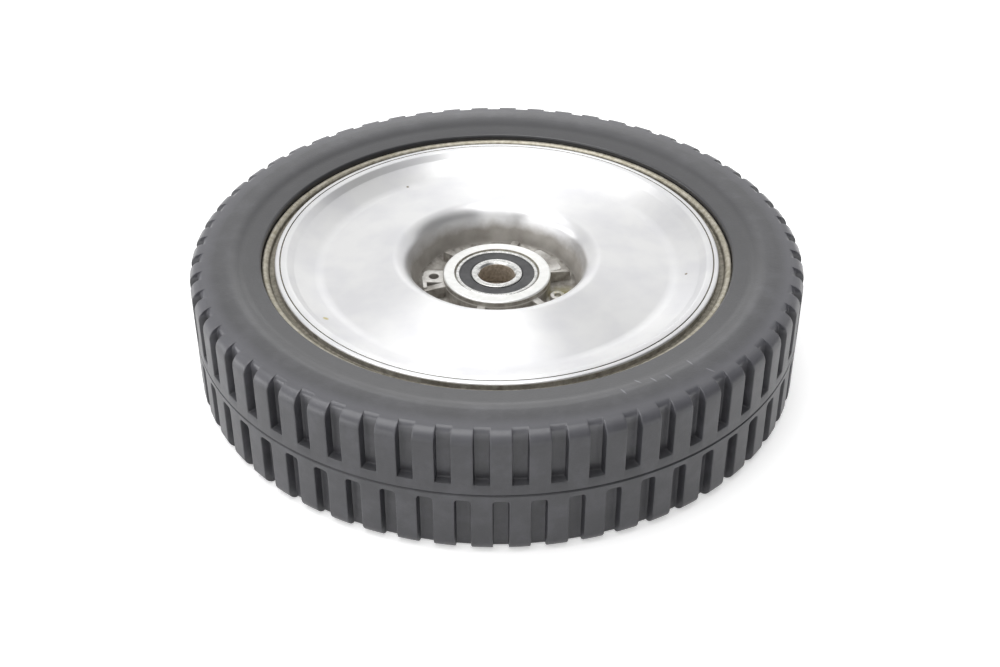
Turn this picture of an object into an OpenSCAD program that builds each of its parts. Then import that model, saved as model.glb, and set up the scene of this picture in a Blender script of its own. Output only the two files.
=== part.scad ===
// Drive wheel of a walk-behind lawn mower, lying on its inner side with the polished face up.
// The axle runs along Z. Heights in the sections below are measured from the middle plane of
// the tyre, positive towards the polished face, and every module lifts its piece by mid_z.

/* [Tyre] */
// Outside diameter over the tread
tyre_d = 203.2; // [200:0.1:216]
// Width over the sidewalls
tyre_w = 44.4; // [43:0.1:48]
// How far the edge of the tread lies inside the widest part of the sidewall
tread_edge_drop = 0.5; // [0.2:0.05:1.2]
// Width of the sloped shoulder between the tread edge and the sidewall
shoulder_w = 5.3; // [4.5:0.1:7]
// Rounding of the tread edge
tread_edge_r = 2.2; // [1:0.1:2.8]
// Width of the flat ring that the tyre rests on
rest_ring_w = 6.7; // [4:0.1:8]
// How far the inner sidewall lies below the flat ring
sidewall_step = 1; // [0.4:0.1:1.6]
// Width of the slope between the two parts of the sidewall
sidewall_step_w = 4; // [3:0.1:5]
// Rounding of the tyre's edge beside the rim
tyre_lip_r = 0.8; // [0.3:0.1:1.2]

/* [Tread] */
// Number of grooves in each of the two rows
groove_count = 57; // [40:1:64]
// Width of a groove
groove_w = 4.7; // [3.5:0.1:5.4]
// Depth of a groove
groove_depth = 3; // [1.5:0.1:4]
// Chamfer where the floor of a groove runs out into the sidewall
groove_mouth = 0.9; // [0.4:0.1:1.6]
// Angle of the first groove in the row on the gear side
first_groove_angle = 270.7; // [267:0.1:274]
// Distance from the mid line to the grooves on the polished side
front_groove_start = 3.9; // [1.5:0.1:6]
// Distance from the mid line to the grooves on the gear side
rear_groove_start = 2.2; // [1.5:0.1:6]
// Corner rounding of the grooves on the gear side
groove_corner_r = 1; // [0.5:0.1:1.6]
// Width of the fine line round the middle of the tread
mid_line_w = 0.9; // [0.5:0.1:1.5]
// Depth of the fine line
mid_line_depth = 0.5; // [0.2:0.1:0.8]

/* [Rim] */
// Diameter of the seat that the tyre grips
seat_d = 144.6; // [143:0.1:146]
// Width of the seat between the two flanges
seat_w = 30; // [26:0.1:32]
// Wall of the rim under the seat
rim_wall = 3.3; // [2.5:0.1:4]
// Diameter over the flanges
flange_d = 156.4; // [155:0.1:158]
// Thickness of a flange
flange_t = 2; // [1.5:0.1:2.6]
// Height of the rolled edge above the flange
flange_bead_h = 1.9; // [1:0.1:2.2]
// Width of the rolled edge
flange_bead_w = 1.6; // [1.2:0.1:1.8]
// Gap between the flange and the tyre's inner edge
tyre_lip_gap = 0.15; // [0.05:0.05:0.4]

/* [Face] */
// Height of the bright lip round the face
lip_z = 19.3; // [18.6:0.1:20]
// Diameter over the lip
lip_d = 148; // [147.6:0.1:149]
// Width of the lip outside its fine groove
lip_w = 1.6; // [1.2:0.1:2]
// Width of the fine groove
lip_groove_w = 0.35; // [0.2:0.05:0.5]
// Depth of the fine groove
lip_groove_depth = 0.4; // [0.2:0.05:0.8]
// Width of the flat ring inside the fine groove
face_ring_w = 2.05; // [1.5:0.05:2.5]
// Width of the steep band inside the flat ring
band_w = 2.3; // [1.8:0.1:3]
// Height of the steep band
band_h = 1.9; // [1:0.1:2.4]
// Diameter of the valley in the face
valley_d = 119; // [114:0.5:122]
// Height of the bottom of the valley
valley_z = 14; // [13.4:0.1:15]
// Rounding of the valley
valley_r = 8; // [4:0.5:12]
// Height that the crown by the recess would reach with no rounding
crown_z = 18.2; // [17.6:0.1:18.8]
// Thickness of the face wall
web_t = 4; // [3.5:0.1:4.5]

/* [Hub recess] */
// Diameter of the recess at its floor
recess_d = 54; // [53:0.5:56]
// Diameter that the mouth would have with no rounding
mouth_d = 62.1; // [60:0.1:64]
// Rounding of the mouth
mouth_r = 5; // [3:0.5:6]
// Height of the recess floor
recess_z = 3.7; // [3:0.1:5]
// Wall round the recess
recess_wall = 4; // [3.5:0.1:4.5]
// Floor thickness under the recess
recess_floor_t = 4; // [3.5:0.1:5]
// Number of gusset ribs round the boss
gusset_count = 6; // [3:1:8]
// Angle of the first gusset rib
gusset_angle = 14; // [0:1:20]
// Thickness of a gusset rib
gusset_t = 2.8; // [2:0.1:3.5]
// How far a gusset rib reaches from the axis
gusset_reach = 25.6; // [22:0.1:26]
// How far the gusset ribs stay below the boss face
gusset_drop = 2; // [1:0.1:3]
// How much lower the outer end of a gusset rib is
gusset_fall = 1; // [0:0.1:2]

/* [Cast lugs] */
// Angle of the drilled lug
drilled_lug_angle = 178; // [174:1:180]
// Distance of the drilled lug's hole from the axis
drilled_lug_r = 21.4; // [21:0.1:22]
// Width of the drilled lug
drilled_lug_w = 7.4; // [6:0.1:8]
// Hole in the drilled lug
drilled_lug_hole_d = 3.3; // [2.5:0.1:4]
// Start angle of the curved pad
pad_from = 18; // [16:1:20]
// End angle of the curved pad
pad_to = 45; // [40:1:50]
// How far the curved pad reaches from the axis
pad_reach = 22.8; // [21:0.1:24]
// Angle of the small round lug
small_lug_angle = 333; // [330:1:336]
// Distance of the small round lug from the axis
small_lug_r = 22.8; // [22:0.1:23.5]
// Diameter of the small round lug
small_lug_d = 5; // [4:0.1:6]

/* [Hub] */
// Diameter of the bearing boss
boss_d = 36.5; // [35:0.1:38]
// Height of the boss face on the polished side
boss_front_z = 10.2; // [9:0.1:11]
// How far the boss reaches on the gear side
boss_rear_z = 20; // [18:0.1:21]
// Chamfer where a bearing enters the boss
boss_chamfer = 0.45; // [0.3:0.05:0.8]
// How deep a bearing sits below the boss face
bearing_recess = 0.3; // [0:0.1:0.8]
// Bore between the two bearings
hub_bore_d = 25; // [24.4:0.1:26]

/* [Bearings] */
// Bore of a bearing
bearing_bore = 12; // [12:0.1:12.4]
// Outside diameter of a bearing
bearing_d = 28; // [27.6:0.1:28.6]
// Width of a bearing
bearing_w = 8; // [7.8:0.1:8.6]
// Number of balls in a bearing
ball_count = 8; // [6:1:8]
// Diameter of a ball
ball_d = 4.762; // [4.4:0.001:4.8]
// Clearance between a ball and its track
track_clear = 0.05; // [0.02:0.01:0.08]
// Outside diameter of the inner ring
inner_ring_d = 17.2; // [16.6:0.1:17.4]
// Inside diameter of the outer ring beside its track
outer_ring_land_d = 23.2; // [23:0.1:23.6]
// Diameter that shows of a seal
seal_d = 25.5; // [25.2:0.1:25.8]
// Thickness of a seal
seal_t = 0.75; // [0.5:0.05:0.8]
// Gap between a seal's lip and the inner ring
seal_gap = 0.2; // [0.1:0.05:0.3]
// Sheet thickness of a ball cage
cage_t = 0.35; // [0.25:0.05:0.4]
// Radial width of a ball cage
cage_w = 2; // [1.6:0.1:2.2]
// Clearance between a ball and its cage pocket
pocket_clear = 0.12; // [0.08:0.01:0.15]
// Shank diameter of a cage rivet
rivet_d = 0.8; // [0.6:0.05:0.9]
// Outside diameter of the spacer tube between the bearings
spacer_d = 16; // [15:0.1:17]
// How much wider the spacer tube's bore is than the bearings'
spacer_play = 0.2; // [0.1:0.05:0.4]

/* [Ring gear] */
// Module of the internal teeth
gear_module = 1.5; // [1.5:0.05:1.55]
// Number of internal teeth
gear_teeth = 60; // [54:2:60]
// Length of the teeth along the axis
gear_w = 12; // [8:0.5:14]
// Wall behind the teeth
gear_wall = 4.6; // [3:0.1:4.8]
// Thickness of the fixing ears
ear_t = 4; // [3:0.1:5]
// Number of fixing screws
screw_count = 4; // [3:1:6]
// Diameter of the circle that the screws stand on
screw_pcd = 115; // [113:0.5:117]
// Thread diameter of a screw
screw_d = 5; // [4:0.5:5]
// Length of a screw under its head
screw_len = 12; // [10:0.5:12]
// Diameter of a boss that takes a screw
screw_boss_d = 12; // [11:0.5:13]
// Height of the plane that the ring gear is screwed to
gear_seat_z = 0; // [-1:0.1:1]

/* [Rear ribs] */
// Number of ribs behind the face
rib_count = 8; // [4:1:12]
// Thickness of a rib
rib_t = 3; // [2:0.1:4]
// How far the ribs stay clear of the ring gear
rib_clear = 2.5; // [1:0.1:4]

/* [Hidden] */
$fn = 96;
over = 0.5;

tyre_r = tyre_d / 2;
crest_z = tyre_w / 2;
mid_z = crest_z;
groove_floor_r = tyre_r - groove_depth;
seat_r = seat_d / 2;
flange_r = flange_d / 2;
flange_z = seat_w / 2;
channel_z = flange_z + flange_t;
bead_z = channel_z + flange_bead_h;
rim_in_r = seat_r - rim_wall;

lip_r = lip_d / 2;
lip_in_r = lip_r - lip_w;
ring_out_r = lip_in_r - lip_groove_w;
band_out_r = ring_out_r - face_ring_w;
band_in_r = band_out_r - band_w;
valley_at = valley_d / 2;
mouth_at = mouth_d / 2;
recess_at = recess_d / 2;
boss_at = boss_d / 2;
web_foot_r = recess_at + recess_wall;
web_neck_r = mouth_at + recess_wall;
gusset_top_z = boss_front_z - gusset_drop;

bearing_r = bearing_d / 2;
front_bearing_z = boss_front_z - bearing_recess - bearing_w / 2;
rear_bearing_z = bearing_recess + bearing_w / 2 - boss_rear_z;
ball_r = ball_d / 2;
inner_ring_r = inner_ring_d / 2;
land_r = outer_ring_land_d / 2;
pitch_r = (inner_ring_r + land_r) / 2 - 0.1;
track_r = 0.52 * ball_d;
pocket_r = ball_r + pocket_clear;
seal_seat_z = bearing_w / 2 - 1.05;
seal_bead_t = 0.4;
seal_bead_w = 0.2;
ring_edge_r = 0.4;
bore_chamfer = 0.7;

screw_r = screw_pcd / 2;
gear_pitch_r = gear_module * gear_teeth / 2;
gear_tip_r = gear_pitch_r - gear_module;
gear_root_r = gear_pitch_r + 1.25 * gear_module;
gear_out_r = gear_root_r + gear_wall;
washer_t = 1.2;
head_h = 3.5;
head_across_flats = 1.6 * screw_d;
rib_bottom_z = gear_seat_z + rib_clear;

// Unit vector from a to b
function unit(a, b) = (b - a) / norm(b - a);
// Positive where the outline turns left at b, which is an outer corner when it runs anticlockwise
function turn(a, b, c) = (b[0] - a[0]) * (c[1] - b[1]) - (b[1] - a[1]) * (c[0] - b[0]);
// Height on a straight line between two points
function height_at(a, b, r) = a[1] + (b[1] - a[1]) * (r - a[0]) / (b[0] - a[0]);

// Where an arc of radius r that rounds corner b touches the side towards a
function tangent_point(a, b, c, r) = b + unit(b, a) * r / tan(acos(unit(b, a) * unit(b, c)) / 2);

// What rounding corner b takes away. A hollow corner is drawn with its chord, so that rounding
// it also only takes away.
module corner_cut(a, b, c, r) {
    from = tangent_point(a, b, c, r);
    to = tangent_point(c, b, a, r);
    inward = unit(b, (from + to) / 2);
    centre = b + inward * r / sin(acos(unit(b, a) * unit(b, c)) / 2);
    if (turn(a, b, c) > 0)
        difference() {
            polygon([from, b - inward * over * r, to]);
            translate(centre) circle(r);
        }
    else
        intersection() {
            polygon([from, b, to, to + inward * over * r, from + inward * over * r]);
            translate(centre) circle(r);
        }
}

// An anticlockwise outline whose corners are [x, y, rounding]
module rounded_outline(corners) {
    n = len(corners);
    function at(i) = [corners[(i + n) % n][0], corners[(i + n) % n][1]];
    function hollow(i) = turn(at(i - 1), at(i), at(i + 1)) < 0;
    difference() {
        polygon([for (i = [0:n - 1]) each corners[i][2] > 0 && hollow(i)
            ? [tangent_point(at(i - 1), at(i), at(i + 1), corners[i][2]),
                tangent_point(at(i + 1), at(i), at(i - 1), corners[i][2])]
            : [at(i)]]);
        for (i = [0:n - 1])
            if (corners[i][2] > 0)
                corner_cut(at(i - 1), at(i), at(i + 1), corners[i][2]);
    }
}

module ring(outer_r, inner_r, low, high) {
    translate([0, 0, low]) difference() {
        cylinder(r = outer_r, h = high - low);
        translate([0, 0, -over]) cylinder(r = inner_r, h = high - low + 2 * over);
    }
}

// Lifts a piece from the tyre's middle plane to the height at which the wheel lies
module lying() {
    translate([0, 0, mid_z]) children();
}

// Half of the tyre's section, on the side given by side = 1 or -1
function tyre_half(side) = [
    [seat_r, side * flange_z, 0],
    [flange_r + tyre_lip_gap, side * flange_z, 0],
    [flange_r + tyre_lip_gap, side * (crest_z - sidewall_step), tyre_lip_r],
    [rest_in_r() - sidewall_step_w, side * (crest_z - sidewall_step), 12],
    [rest_in_r(), side * crest_z, 8],
    [tyre_r - shoulder_w, side * crest_z, 6],
    [tyre_r, side * (crest_z - tread_edge_drop), tread_edge_r],
    [tyre_r, side * mid_line_w / 2, 0]];
function rest_in_r() = tyre_r - shoulder_w - rest_ring_w;
function backwards(list) = [for (i = [len(list) - 1:-1:0]) list[i]];

module tyre_section() {
    rounded_outline(concat(tyre_half(-1), [[tyre_r - mid_line_depth, 0, 0]], backwards(tyre_half(1))));
}

// A groove's outline across the tread, from start out past the shoulder
module front_groove() {
    translate([-groove_w / 2, front_groove_start]) square([groove_w, crest_z]);
}

module rear_groove() {
    translate([-groove_w / 2, rear_groove_start + groove_corner_r]) square([groove_w, crest_z]);
    translate([groove_corner_r - groove_w / 2, rear_groove_start])
        square([groove_w - 2 * groove_corner_r, 2 * groove_corner_r]);
    for (side = [-1, 1])
        translate([side * (groove_w / 2 - groove_corner_r), rear_groove_start + groove_corner_r])
            circle(groove_corner_r, $fn = 24);
}

// Breaks the edge between a groove's floor and the sidewall
module mouth_cut() {
    translate([groove_floor_r, groove_w / 2, crest_z - groove_mouth])
        rotate([90, 0, 0])
            linear_extrude(groove_w)
                polygon([[0, 0], [over, 0], [over, 2 * groove_mouth], [-2 * groove_mouth, 2 * groove_mouth]]);
}

module groove_row(side, shift) {
    for (i = [0:groove_count - 1])
        rotate([0, 0, first_groove_angle + (i + shift) * 360 / groove_count])
            facing(side) {
                translate([groove_floor_r, 0, 0])
                    rotate([90, 0, 90])
                        linear_extrude(groove_depth + over)
                            children();
                mouth_cut();
            }
}

module tyre() {
    color("dimgray") lying() difference() {
        rotate_extrude($fn = 180) tyre_section();
        groove_row(1, 0.5) front_groove();
        groove_row(-1, 0) rear_groove();
    }
}

// The casting's section: along the polished face, down the rim, back along the rear
module casting_section() {
    rounded_outline([
        [bearing_r, boss_front_z - boss_chamfer, 0],
        [bearing_r, front_bearing_z - bearing_w / 2, 0],
        [hub_bore_d / 2, front_bearing_z - bearing_w / 2, 0],
        [hub_bore_d / 2, rear_bearing_z + bearing_w / 2, 0],
        [bearing_r, rear_bearing_z + bearing_w / 2, 0],
        [bearing_r, boss_chamfer - boss_rear_z, 0],
        [bearing_r + boss_chamfer, -boss_rear_z, 0],
        [boss_at, -boss_rear_z, 0.8],
        [boss_at, recess_z - recess_floor_t, 2],
        [web_foot_r, recess_z - recess_floor_t, 3],
        [web_neck_r, crown_z - web_t, 2.5],
        [valley_at, valley_z - web_t, 6],
        [rim_in_r, face_back_z(rim_in_r), 3],
        [rim_in_r, -channel_z, 0.8],
        [flange_r, -channel_z, 0.9],
        [flange_r, -flange_z, 0],
        [seat_r, -flange_z, 0],
        [seat_r, flange_z, 0],
        [flange_r, flange_z, 0],
        [flange_r, bead_z, 0.45 * flange_bead_w],
        [flange_r - flange_bead_w, bead_z, 0.45 * flange_bead_w],
        [flange_r - flange_bead_w, channel_z, 0.3],
        [lip_r, channel_z, 0.3],
        [lip_r, lip_z, 0.6],
        [lip_in_r, lip_z, 0.15],
        [lip_in_r, lip_z - lip_groove_depth, 0],
        [ring_out_r, lip_z - lip_groove_depth, 0],
        [ring_out_r, lip_z, 0.15],
        [band_out_r, lip_z, 1],
        [band_in_r, lip_z - band_h, 2],
        [valley_at, valley_z, valley_r],
        [mouth_at, crown_z, mouth_r],
        [recess_at, recess_z, 2.5],
        [boss_at, recess_z, 1],
        [boss_at, boss_front_z, 0.6],
        [bearing_r + boss_chamfer, boss_front_z, 0]]);
}
// Height of the rear of the face wall, outside the valley and inside it
function face_back_z(r) = r > valley_at
    ? height_at([valley_at, valley_z], [band_in_r, lip_z - band_h], r) - web_t
    : height_at([mouth_at, crown_z], [valley_at, valley_z], r) - web_t;

// A triangular rib in the recess, from the boss out along the floor
module gusset() {
    rotate([90, 0, 0])
        translate([0, 0, -gusset_t / 2])
            linear_extrude(gusset_t)
                polygon([
                    [boss_at - over, recess_z - over],
                    [gusset_reach, recess_z - over],
                    [gusset_reach, gusset_top_z - gusset_fall],
                    [boss_at - over, gusset_top_z]]);
}

// Rectangle along a radius, from one distance to another
module bar(from, to, width) {
    translate([from, -width / 2]) square([to - from, width]);
}

module drilled_lug() {
    web_angle = gusset_angle + 180 - drilled_lug_angle;
    translate([0, 0, recess_z - over])
        linear_extrude(gusset_top_z - recess_z + over - 0.2)
            difference() {
                rotate(drilled_lug_angle) union() {
                    bar(boss_at - over, drilled_lug_r + drilled_lug_w / 2 - 1, drilled_lug_w);
                    bar(boss_at, drilled_lug_r + drilled_lug_w / 2, drilled_lug_w - 2);
                    rotate(web_angle / 2)
                        bar(gusset_reach - 1.8, gusset_reach - 0.3, web_angle * gusset_reach * PI / 180);
                }
                circle(boss_at - over);
            }
}

module curved_pad() {
    middle = (pad_from + pad_to) / 2;
    spread = pad_to - pad_from;
    end_r = (pad_reach - boss_at) / 2;
    translate([0, 0, recess_z - over])
        linear_extrude(gusset_top_z - recess_z + over)
            difference() {
                union() {
                    intersection() {
                        circle(pad_reach);
                        rotate(middle) polygon([[0, 0],
                            2 * pad_reach * [cos(spread / 2), -sin(spread / 2)],
                            2 * pad_reach * [cos(spread / 2), sin(spread / 2)]]);
                    }
                    for (a = [pad_from, pad_to])
                        rotate(a) translate([boss_at + end_r, 0]) circle(end_r, $fn = 32);
                }
                circle(boss_at - over);
            }
}

module small_lug() {
    rotate(small_lug_angle) translate([small_lug_r, 0, recess_z - over])
        cylinder(d = small_lug_d, h = gusset_top_z - recess_z + over - 0.3, $fn = 32);
}

module rear_rib() {
    rotate([90, 0, 0])
        translate([0, 0, -rib_t / 2])
            linear_extrude(rib_t)
                polygon([
                    [web_foot_r - 1, rib_bottom_z],
                    [rim_in_r + 1, rib_bottom_z],
                    [rim_in_r + 1, face_back_z(rim_in_r) + 1],
                    [valley_at, face_back_z(valley_at) + 1],
                    [web_neck_r, face_back_z(web_neck_r) + 1],
                    [web_foot_r - 1, rib_bottom_z + 1]]);
}

module screw_places() {
    for (i = [0:screw_count - 1])
        rotate([0, 0, (i + 0.5) * 360 / screw_count])
            translate([screw_r, 0, 0])
                children();
}

module wheel_casting() {
    hole_depth = screw_len - ear_t - washer_t + 1;
    color("gainsboro") lying() difference() {
        union() {
            rotate_extrude($fn = 180) casting_section();
            for (i = [0:gusset_count - 1])
                rotate([0, 0, gusset_angle + i * 360 / gusset_count]) gusset();
            drilled_lug();
            curved_pad();
            small_lug();
            for (i = [0:rib_count - 1])
                rotate([0, 0, i * 360 / rib_count]) rear_rib();
            screw_places() translate([0, 0, gear_seat_z])
                cylinder(d = screw_boss_d, h = face_back_z(screw_r) + 1 - gear_seat_z, $fn = 48);
        }
        rotate([0, 0, drilled_lug_angle]) translate([drilled_lug_r, 0, recess_z + 0.6])
            cylinder(d = drilled_lug_hole_d, h = boss_front_z, $fn = 32);
        rotate([0, 0, small_lug_angle]) translate([small_lug_r, 0, gusset_top_z - 1.4])
            cylinder(d = small_lug_d * 0.45, h = boss_front_z, $fn = 24);
        screw_places() translate([0, 0, gear_seat_z - over])
            cylinder(d = screw_d, h = hole_depth + over, $fn = 32);
    }
}

// A bearing is drawn about the middle of its balls
module outer_ring() {
    seat = seal_d / 2;
    half_w = bearing_w / 2;
    color("silver") rotate_extrude() difference() {
        rounded_outline([
            [bearing_r, -half_w, ring_edge_r],
            [bearing_r, half_w, ring_edge_r],
            [seat, half_w, 0.15],
            [seat, seal_seat_z + seal_bead_t, 0],
            [seat + seal_bead_w, seal_seat_z + seal_bead_t, 0],
            [seat + seal_bead_w, seal_seat_z, 0],
            [land_r, seal_seat_z, 0.15],
            [land_r, -seal_seat_z, 0.15],
            [seat + seal_bead_w, -seal_seat_z, 0],
            [seat + seal_bead_w, -seal_seat_z - seal_bead_t, 0],
            [seat, -seal_seat_z - seal_bead_t, 0],
            [seat, -half_w, 0.15]]);
        translate([pitch_r + ball_r + track_clear - track_r, 0]) circle(track_r);
    }
}

module inner_ring() {
    bore_r = bearing_bore / 2;
    half_w = bearing_w / 2;
    color("silver") rotate_extrude() difference() {
        rounded_outline([
            [bore_r + bore_chamfer, -half_w, 0],
            [inner_ring_r, -half_w, 0.3],
            [inner_ring_r, half_w, 0.3],
            [bore_r + bore_chamfer, half_w, 0],
            [bore_r, half_w - bore_chamfer, 0],
            [bore_r, bore_chamfer - half_w, 0]]);
        translate([pitch_r - ball_r - track_clear + track_r, 0]) circle(track_r);
    }
}

module around_balls(shift) {
    for (i = [0:ball_count - 1])
        rotate([0, 0, (i + shift) * 360 / ball_count])
            translate([pitch_r, 0, 0])
                children();
}

module balls() {
    color("lightsteelblue") around_balls(0) sphere(ball_r, $fn = 48);
}

// One pressed half of the cage: flats between the balls and a cup over each ball
module cage_half() {
    color("tan") difference() {
        intersection() {
            ring(pitch_r + cage_w / 2, pitch_r - cage_w / 2, 0, ball_d);
            union() {
                cylinder(r = pitch_r + cage_w, h = cage_t);
                around_balls(0) sphere(pocket_r + cage_t, $fn = 48);
            }
        }
        around_balls(0) sphere(pocket_r, $fn = 48);
        around_balls(0.5) translate([0, 0, -over]) cylinder(d = rivet_d, h = 2 * over + cage_t, $fn = 24);
    }
}

module cage_rivets() {
    color("darkkhaki") around_balls(0.5) union() {
        translate([0, 0, -cage_t - over / 2]) cylinder(d = rivet_d, h = 2 * cage_t + over, $fn = 24);
        for (side = [0, 1]) mirror([0, 0, side]) translate([0, 0, cage_t])
            cylinder(d1 = 1.7 * rivet_d, d2 = 1.2 * rivet_d, h = 0.3, $fn = 24);
    }
}

// A moulded rubber seal, clipped into the outer ring, with its lip beside the inner ring
module seal() {
    lip_at = inner_ring_r + seal_gap;
    seat = seal_d / 2;
    color("black") rotate_extrude() rounded_outline([
        [lip_at, seal_seat_z + 0.15, 0],
        [lip_at + 0.8, seal_seat_z, 0],
        [seat + seal_bead_w, seal_seat_z, 0],
        [seat + seal_bead_w, seal_seat_z + seal_bead_t, 0],
        [seat, seal_seat_z + seal_bead_t, 0],
        [seat, seal_seat_z + seal_t, 0.1],
        [seat - 0.35, seal_seat_z + seal_t, 0.1],
        [seat - 0.55, seal_seat_z + seal_t - 0.15, 0],
        [lip_at + 0.5, seal_seat_z + seal_t - 0.1, 0],
        [lip_at, seal_seat_z + seal_t - 0.25, 0]]);
}

module facing(side) {
    mirror([0, 0, side < 0 ? 1 : 0]) children();
}

module at_front_bearing() {
    lying() translate([0, 0, front_bearing_z]) children();
}

module at_rear_bearing() {
    lying() translate([0, 0, rear_bearing_z]) children();
}

module front_bearing_outer_ring() { at_front_bearing() outer_ring(); }
module front_bearing_inner_ring() { at_front_bearing() inner_ring(); }
module front_bearing_balls() { at_front_bearing() balls(); }
module front_bearing_cage_front() { at_front_bearing() facing(1) cage_half(); }
module front_bearing_cage_rear() { at_front_bearing() facing(-1) cage_half(); }
module front_bearing_cage_rivets() { at_front_bearing() cage_rivets(); }
module front_bearing_front_seal() { at_front_bearing() facing(1) seal(); }
module front_bearing_rear_seal() { at_front_bearing() facing(-1) seal(); }
module rear_bearing_outer_ring() { at_rear_bearing() outer_ring(); }
module rear_bearing_inner_ring() { at_rear_bearing() inner_ring(); }
module rear_bearing_balls() { at_rear_bearing() balls(); }
module rear_bearing_cage_front() { at_rear_bearing() facing(1) cage_half(); }
module rear_bearing_cage_rear() { at_rear_bearing() facing(-1) cage_half(); }
module rear_bearing_cage_rivets() { at_rear_bearing() cage_rivets(); }
module rear_bearing_front_seal() { at_rear_bearing() facing(1) seal(); }
module rear_bearing_rear_seal() { at_rear_bearing() facing(-1) seal(); }

// The tube that holds the two inner rings apart when the axle nut is tight
module spacer_tube() {
    color("darkgray") lying() ring(spacer_d / 2, (bearing_bore + spacer_play) / 2,
        rear_bearing_z + bearing_w / 2, front_bearing_z - bearing_w / 2);
}

// Involute angle, in degrees, at radius r of the gear's base circle
function involute(r) =
    let (pressure = acos(min(1, gear_pitch_r * cos(20) / r)))
    tan(pressure) * 180 / PI - pressure;
// Half of the angle of a tooth gap at radius r
function half_gap(r) = 90 / gear_teeth + involute(gear_pitch_r) - involute(r);
function polar(r, a) = r * [cos(a), sin(a)];

// The outline inside the ring gear, gap by gap
module tooth_outline() {
    pitch = 360 / gear_teeth;
    flank = [gear_tip_r, (gear_tip_r + gear_pitch_r) / 2, gear_pitch_r,
        (gear_pitch_r + gear_root_r) / 2, gear_root_r];
    polygon([for (i = [0:gear_teeth - 1]) each concat(
        [for (r = flank) polar(r, i * pitch - half_gap(r))],
        [for (r = backwards(flank)) polar(r, i * pitch + half_gap(r))])]);
}

module ring_gear() {
    color("slategray") lying() translate([0, 0, gear_seat_z - gear_w]) difference() {
        union() {
            cylinder(r = gear_out_r, h = gear_w);
            translate([0, 0, gear_w - ear_t]) linear_extrude(ear_t)
                for (i = [0:screw_count - 1])
                    rotate((i + 0.5) * 360 / screw_count) {
                        bar(gear_out_r - 2, screw_r, screw_boss_d);
                        translate([screw_r, 0]) circle(d = screw_boss_d, $fn = 48);
                    }
        }
        translate([0, 0, -over]) linear_extrude(gear_w + 2 * over) tooth_outline();
        screw_places() translate([0, 0, gear_w - ear_t - over])
            cylinder(d = screw_d + 0.5, h = ear_t + 2 * over, $fn = 32);
    }
}

module gear_screw() {
    under_head = -ear_t - washer_t;
    translate([0, 0, under_head]) cylinder(d = screw_d - 0.1, h = screw_len, $fn = 32);
    translate([0, 0, under_head - head_h]) intersection() {
        cylinder(d = head_across_flats / cos(30), h = head_h, $fn = 6);
        cylinder(d1 = 0.95 * head_across_flats, d2 = 0.95 * head_across_flats + 4 * head_h,
            h = head_h, $fn = 48);
    }
}

module gear_screws() {
    color("gray") lying() screw_places() translate([0, 0, gear_seat_z]) gear_screw();
}

// Split spring washers under the screw heads
module gear_lock_washers() {
    color("darkslategray") lying() screw_places()
        translate([0, 0, gear_seat_z - ear_t - washer_t]) difference() {
            cylinder(d = 1.8 * screw_d, h = washer_t, $fn = 48);
            translate([0, 0, -over]) cylinder(d = screw_d + 0.2, h = washer_t + 2 * over, $fn = 48);
            rotate([0, 0, 60]) translate([0, -0.4, -over]) cube([screw_d, 0.8, washer_t + 2 * over]);
        }
}

tyre();
wheel_casting();
front_bearing_outer_ring();
front_bearing_inner_ring();
front_bearing_balls();
front_bearing_cage_front();
front_bearing_cage_rear();
front_bearing_cage_rivets();
front_bearing_front_seal();
front_bearing_rear_seal();
rear_bearing_outer_ring();
rear_bearing_inner_ring();
rear_bearing_balls();
rear_bearing_cage_front();
rear_bearing_cage_rear();
rear_bearing_cage_rivets();
rear_bearing_front_seal();
rear_bearing_rear_seal();
spacer_tube();
ring_gear();
gear_screws();
gear_lock_washers();
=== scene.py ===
"""The looks of a lawn mower's drive wheel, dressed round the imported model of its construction.

The wheel lies on its inner side with the polished face up. Everything is in metres in the
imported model's frame: Z along the axle, -Y towards the camera. Sizes are in millimetres, and
heights are measured from the tyre's middle plane.
"""

import logging
import math
from dataclasses import dataclass
from enum import Enum
from typing import Callable, Iterable, Optional, Sequence, Union

import bmesh
import bpy
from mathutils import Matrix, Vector


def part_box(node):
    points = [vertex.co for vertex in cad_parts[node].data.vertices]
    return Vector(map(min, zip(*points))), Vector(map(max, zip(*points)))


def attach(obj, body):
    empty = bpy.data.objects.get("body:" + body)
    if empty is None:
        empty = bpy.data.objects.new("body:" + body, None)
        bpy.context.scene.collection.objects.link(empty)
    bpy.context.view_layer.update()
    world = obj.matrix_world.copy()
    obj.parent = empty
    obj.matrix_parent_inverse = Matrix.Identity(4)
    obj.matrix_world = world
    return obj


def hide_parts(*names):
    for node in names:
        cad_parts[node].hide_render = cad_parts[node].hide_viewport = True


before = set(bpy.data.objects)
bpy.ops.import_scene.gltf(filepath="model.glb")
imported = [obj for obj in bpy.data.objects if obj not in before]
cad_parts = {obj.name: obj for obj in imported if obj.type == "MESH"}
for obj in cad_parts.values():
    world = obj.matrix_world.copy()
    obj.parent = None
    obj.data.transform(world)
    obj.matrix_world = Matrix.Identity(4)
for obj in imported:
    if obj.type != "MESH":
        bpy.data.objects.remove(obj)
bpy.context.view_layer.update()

LOG = logging.getLogger("drive_wheel")
MM = 0.001
FULL_TURN = 2 * math.pi
MERGE = 0.001 * MM
MIDDLE = (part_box("tyre")[0][2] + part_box("tyre")[1][2]) / 2

Corner = tuple[float, float, float]
Point = tuple[float, float]
Colour = tuple[float, float, float, float]
Input = Union[float, int, Sequence[float], bpy.types.NodeSocket]


class Part(Enum):
    """What an edit takes hold of."""

    VERTICES = "VERT"
    EDGES = "EDGE"
    FACES = "FACE"


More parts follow.
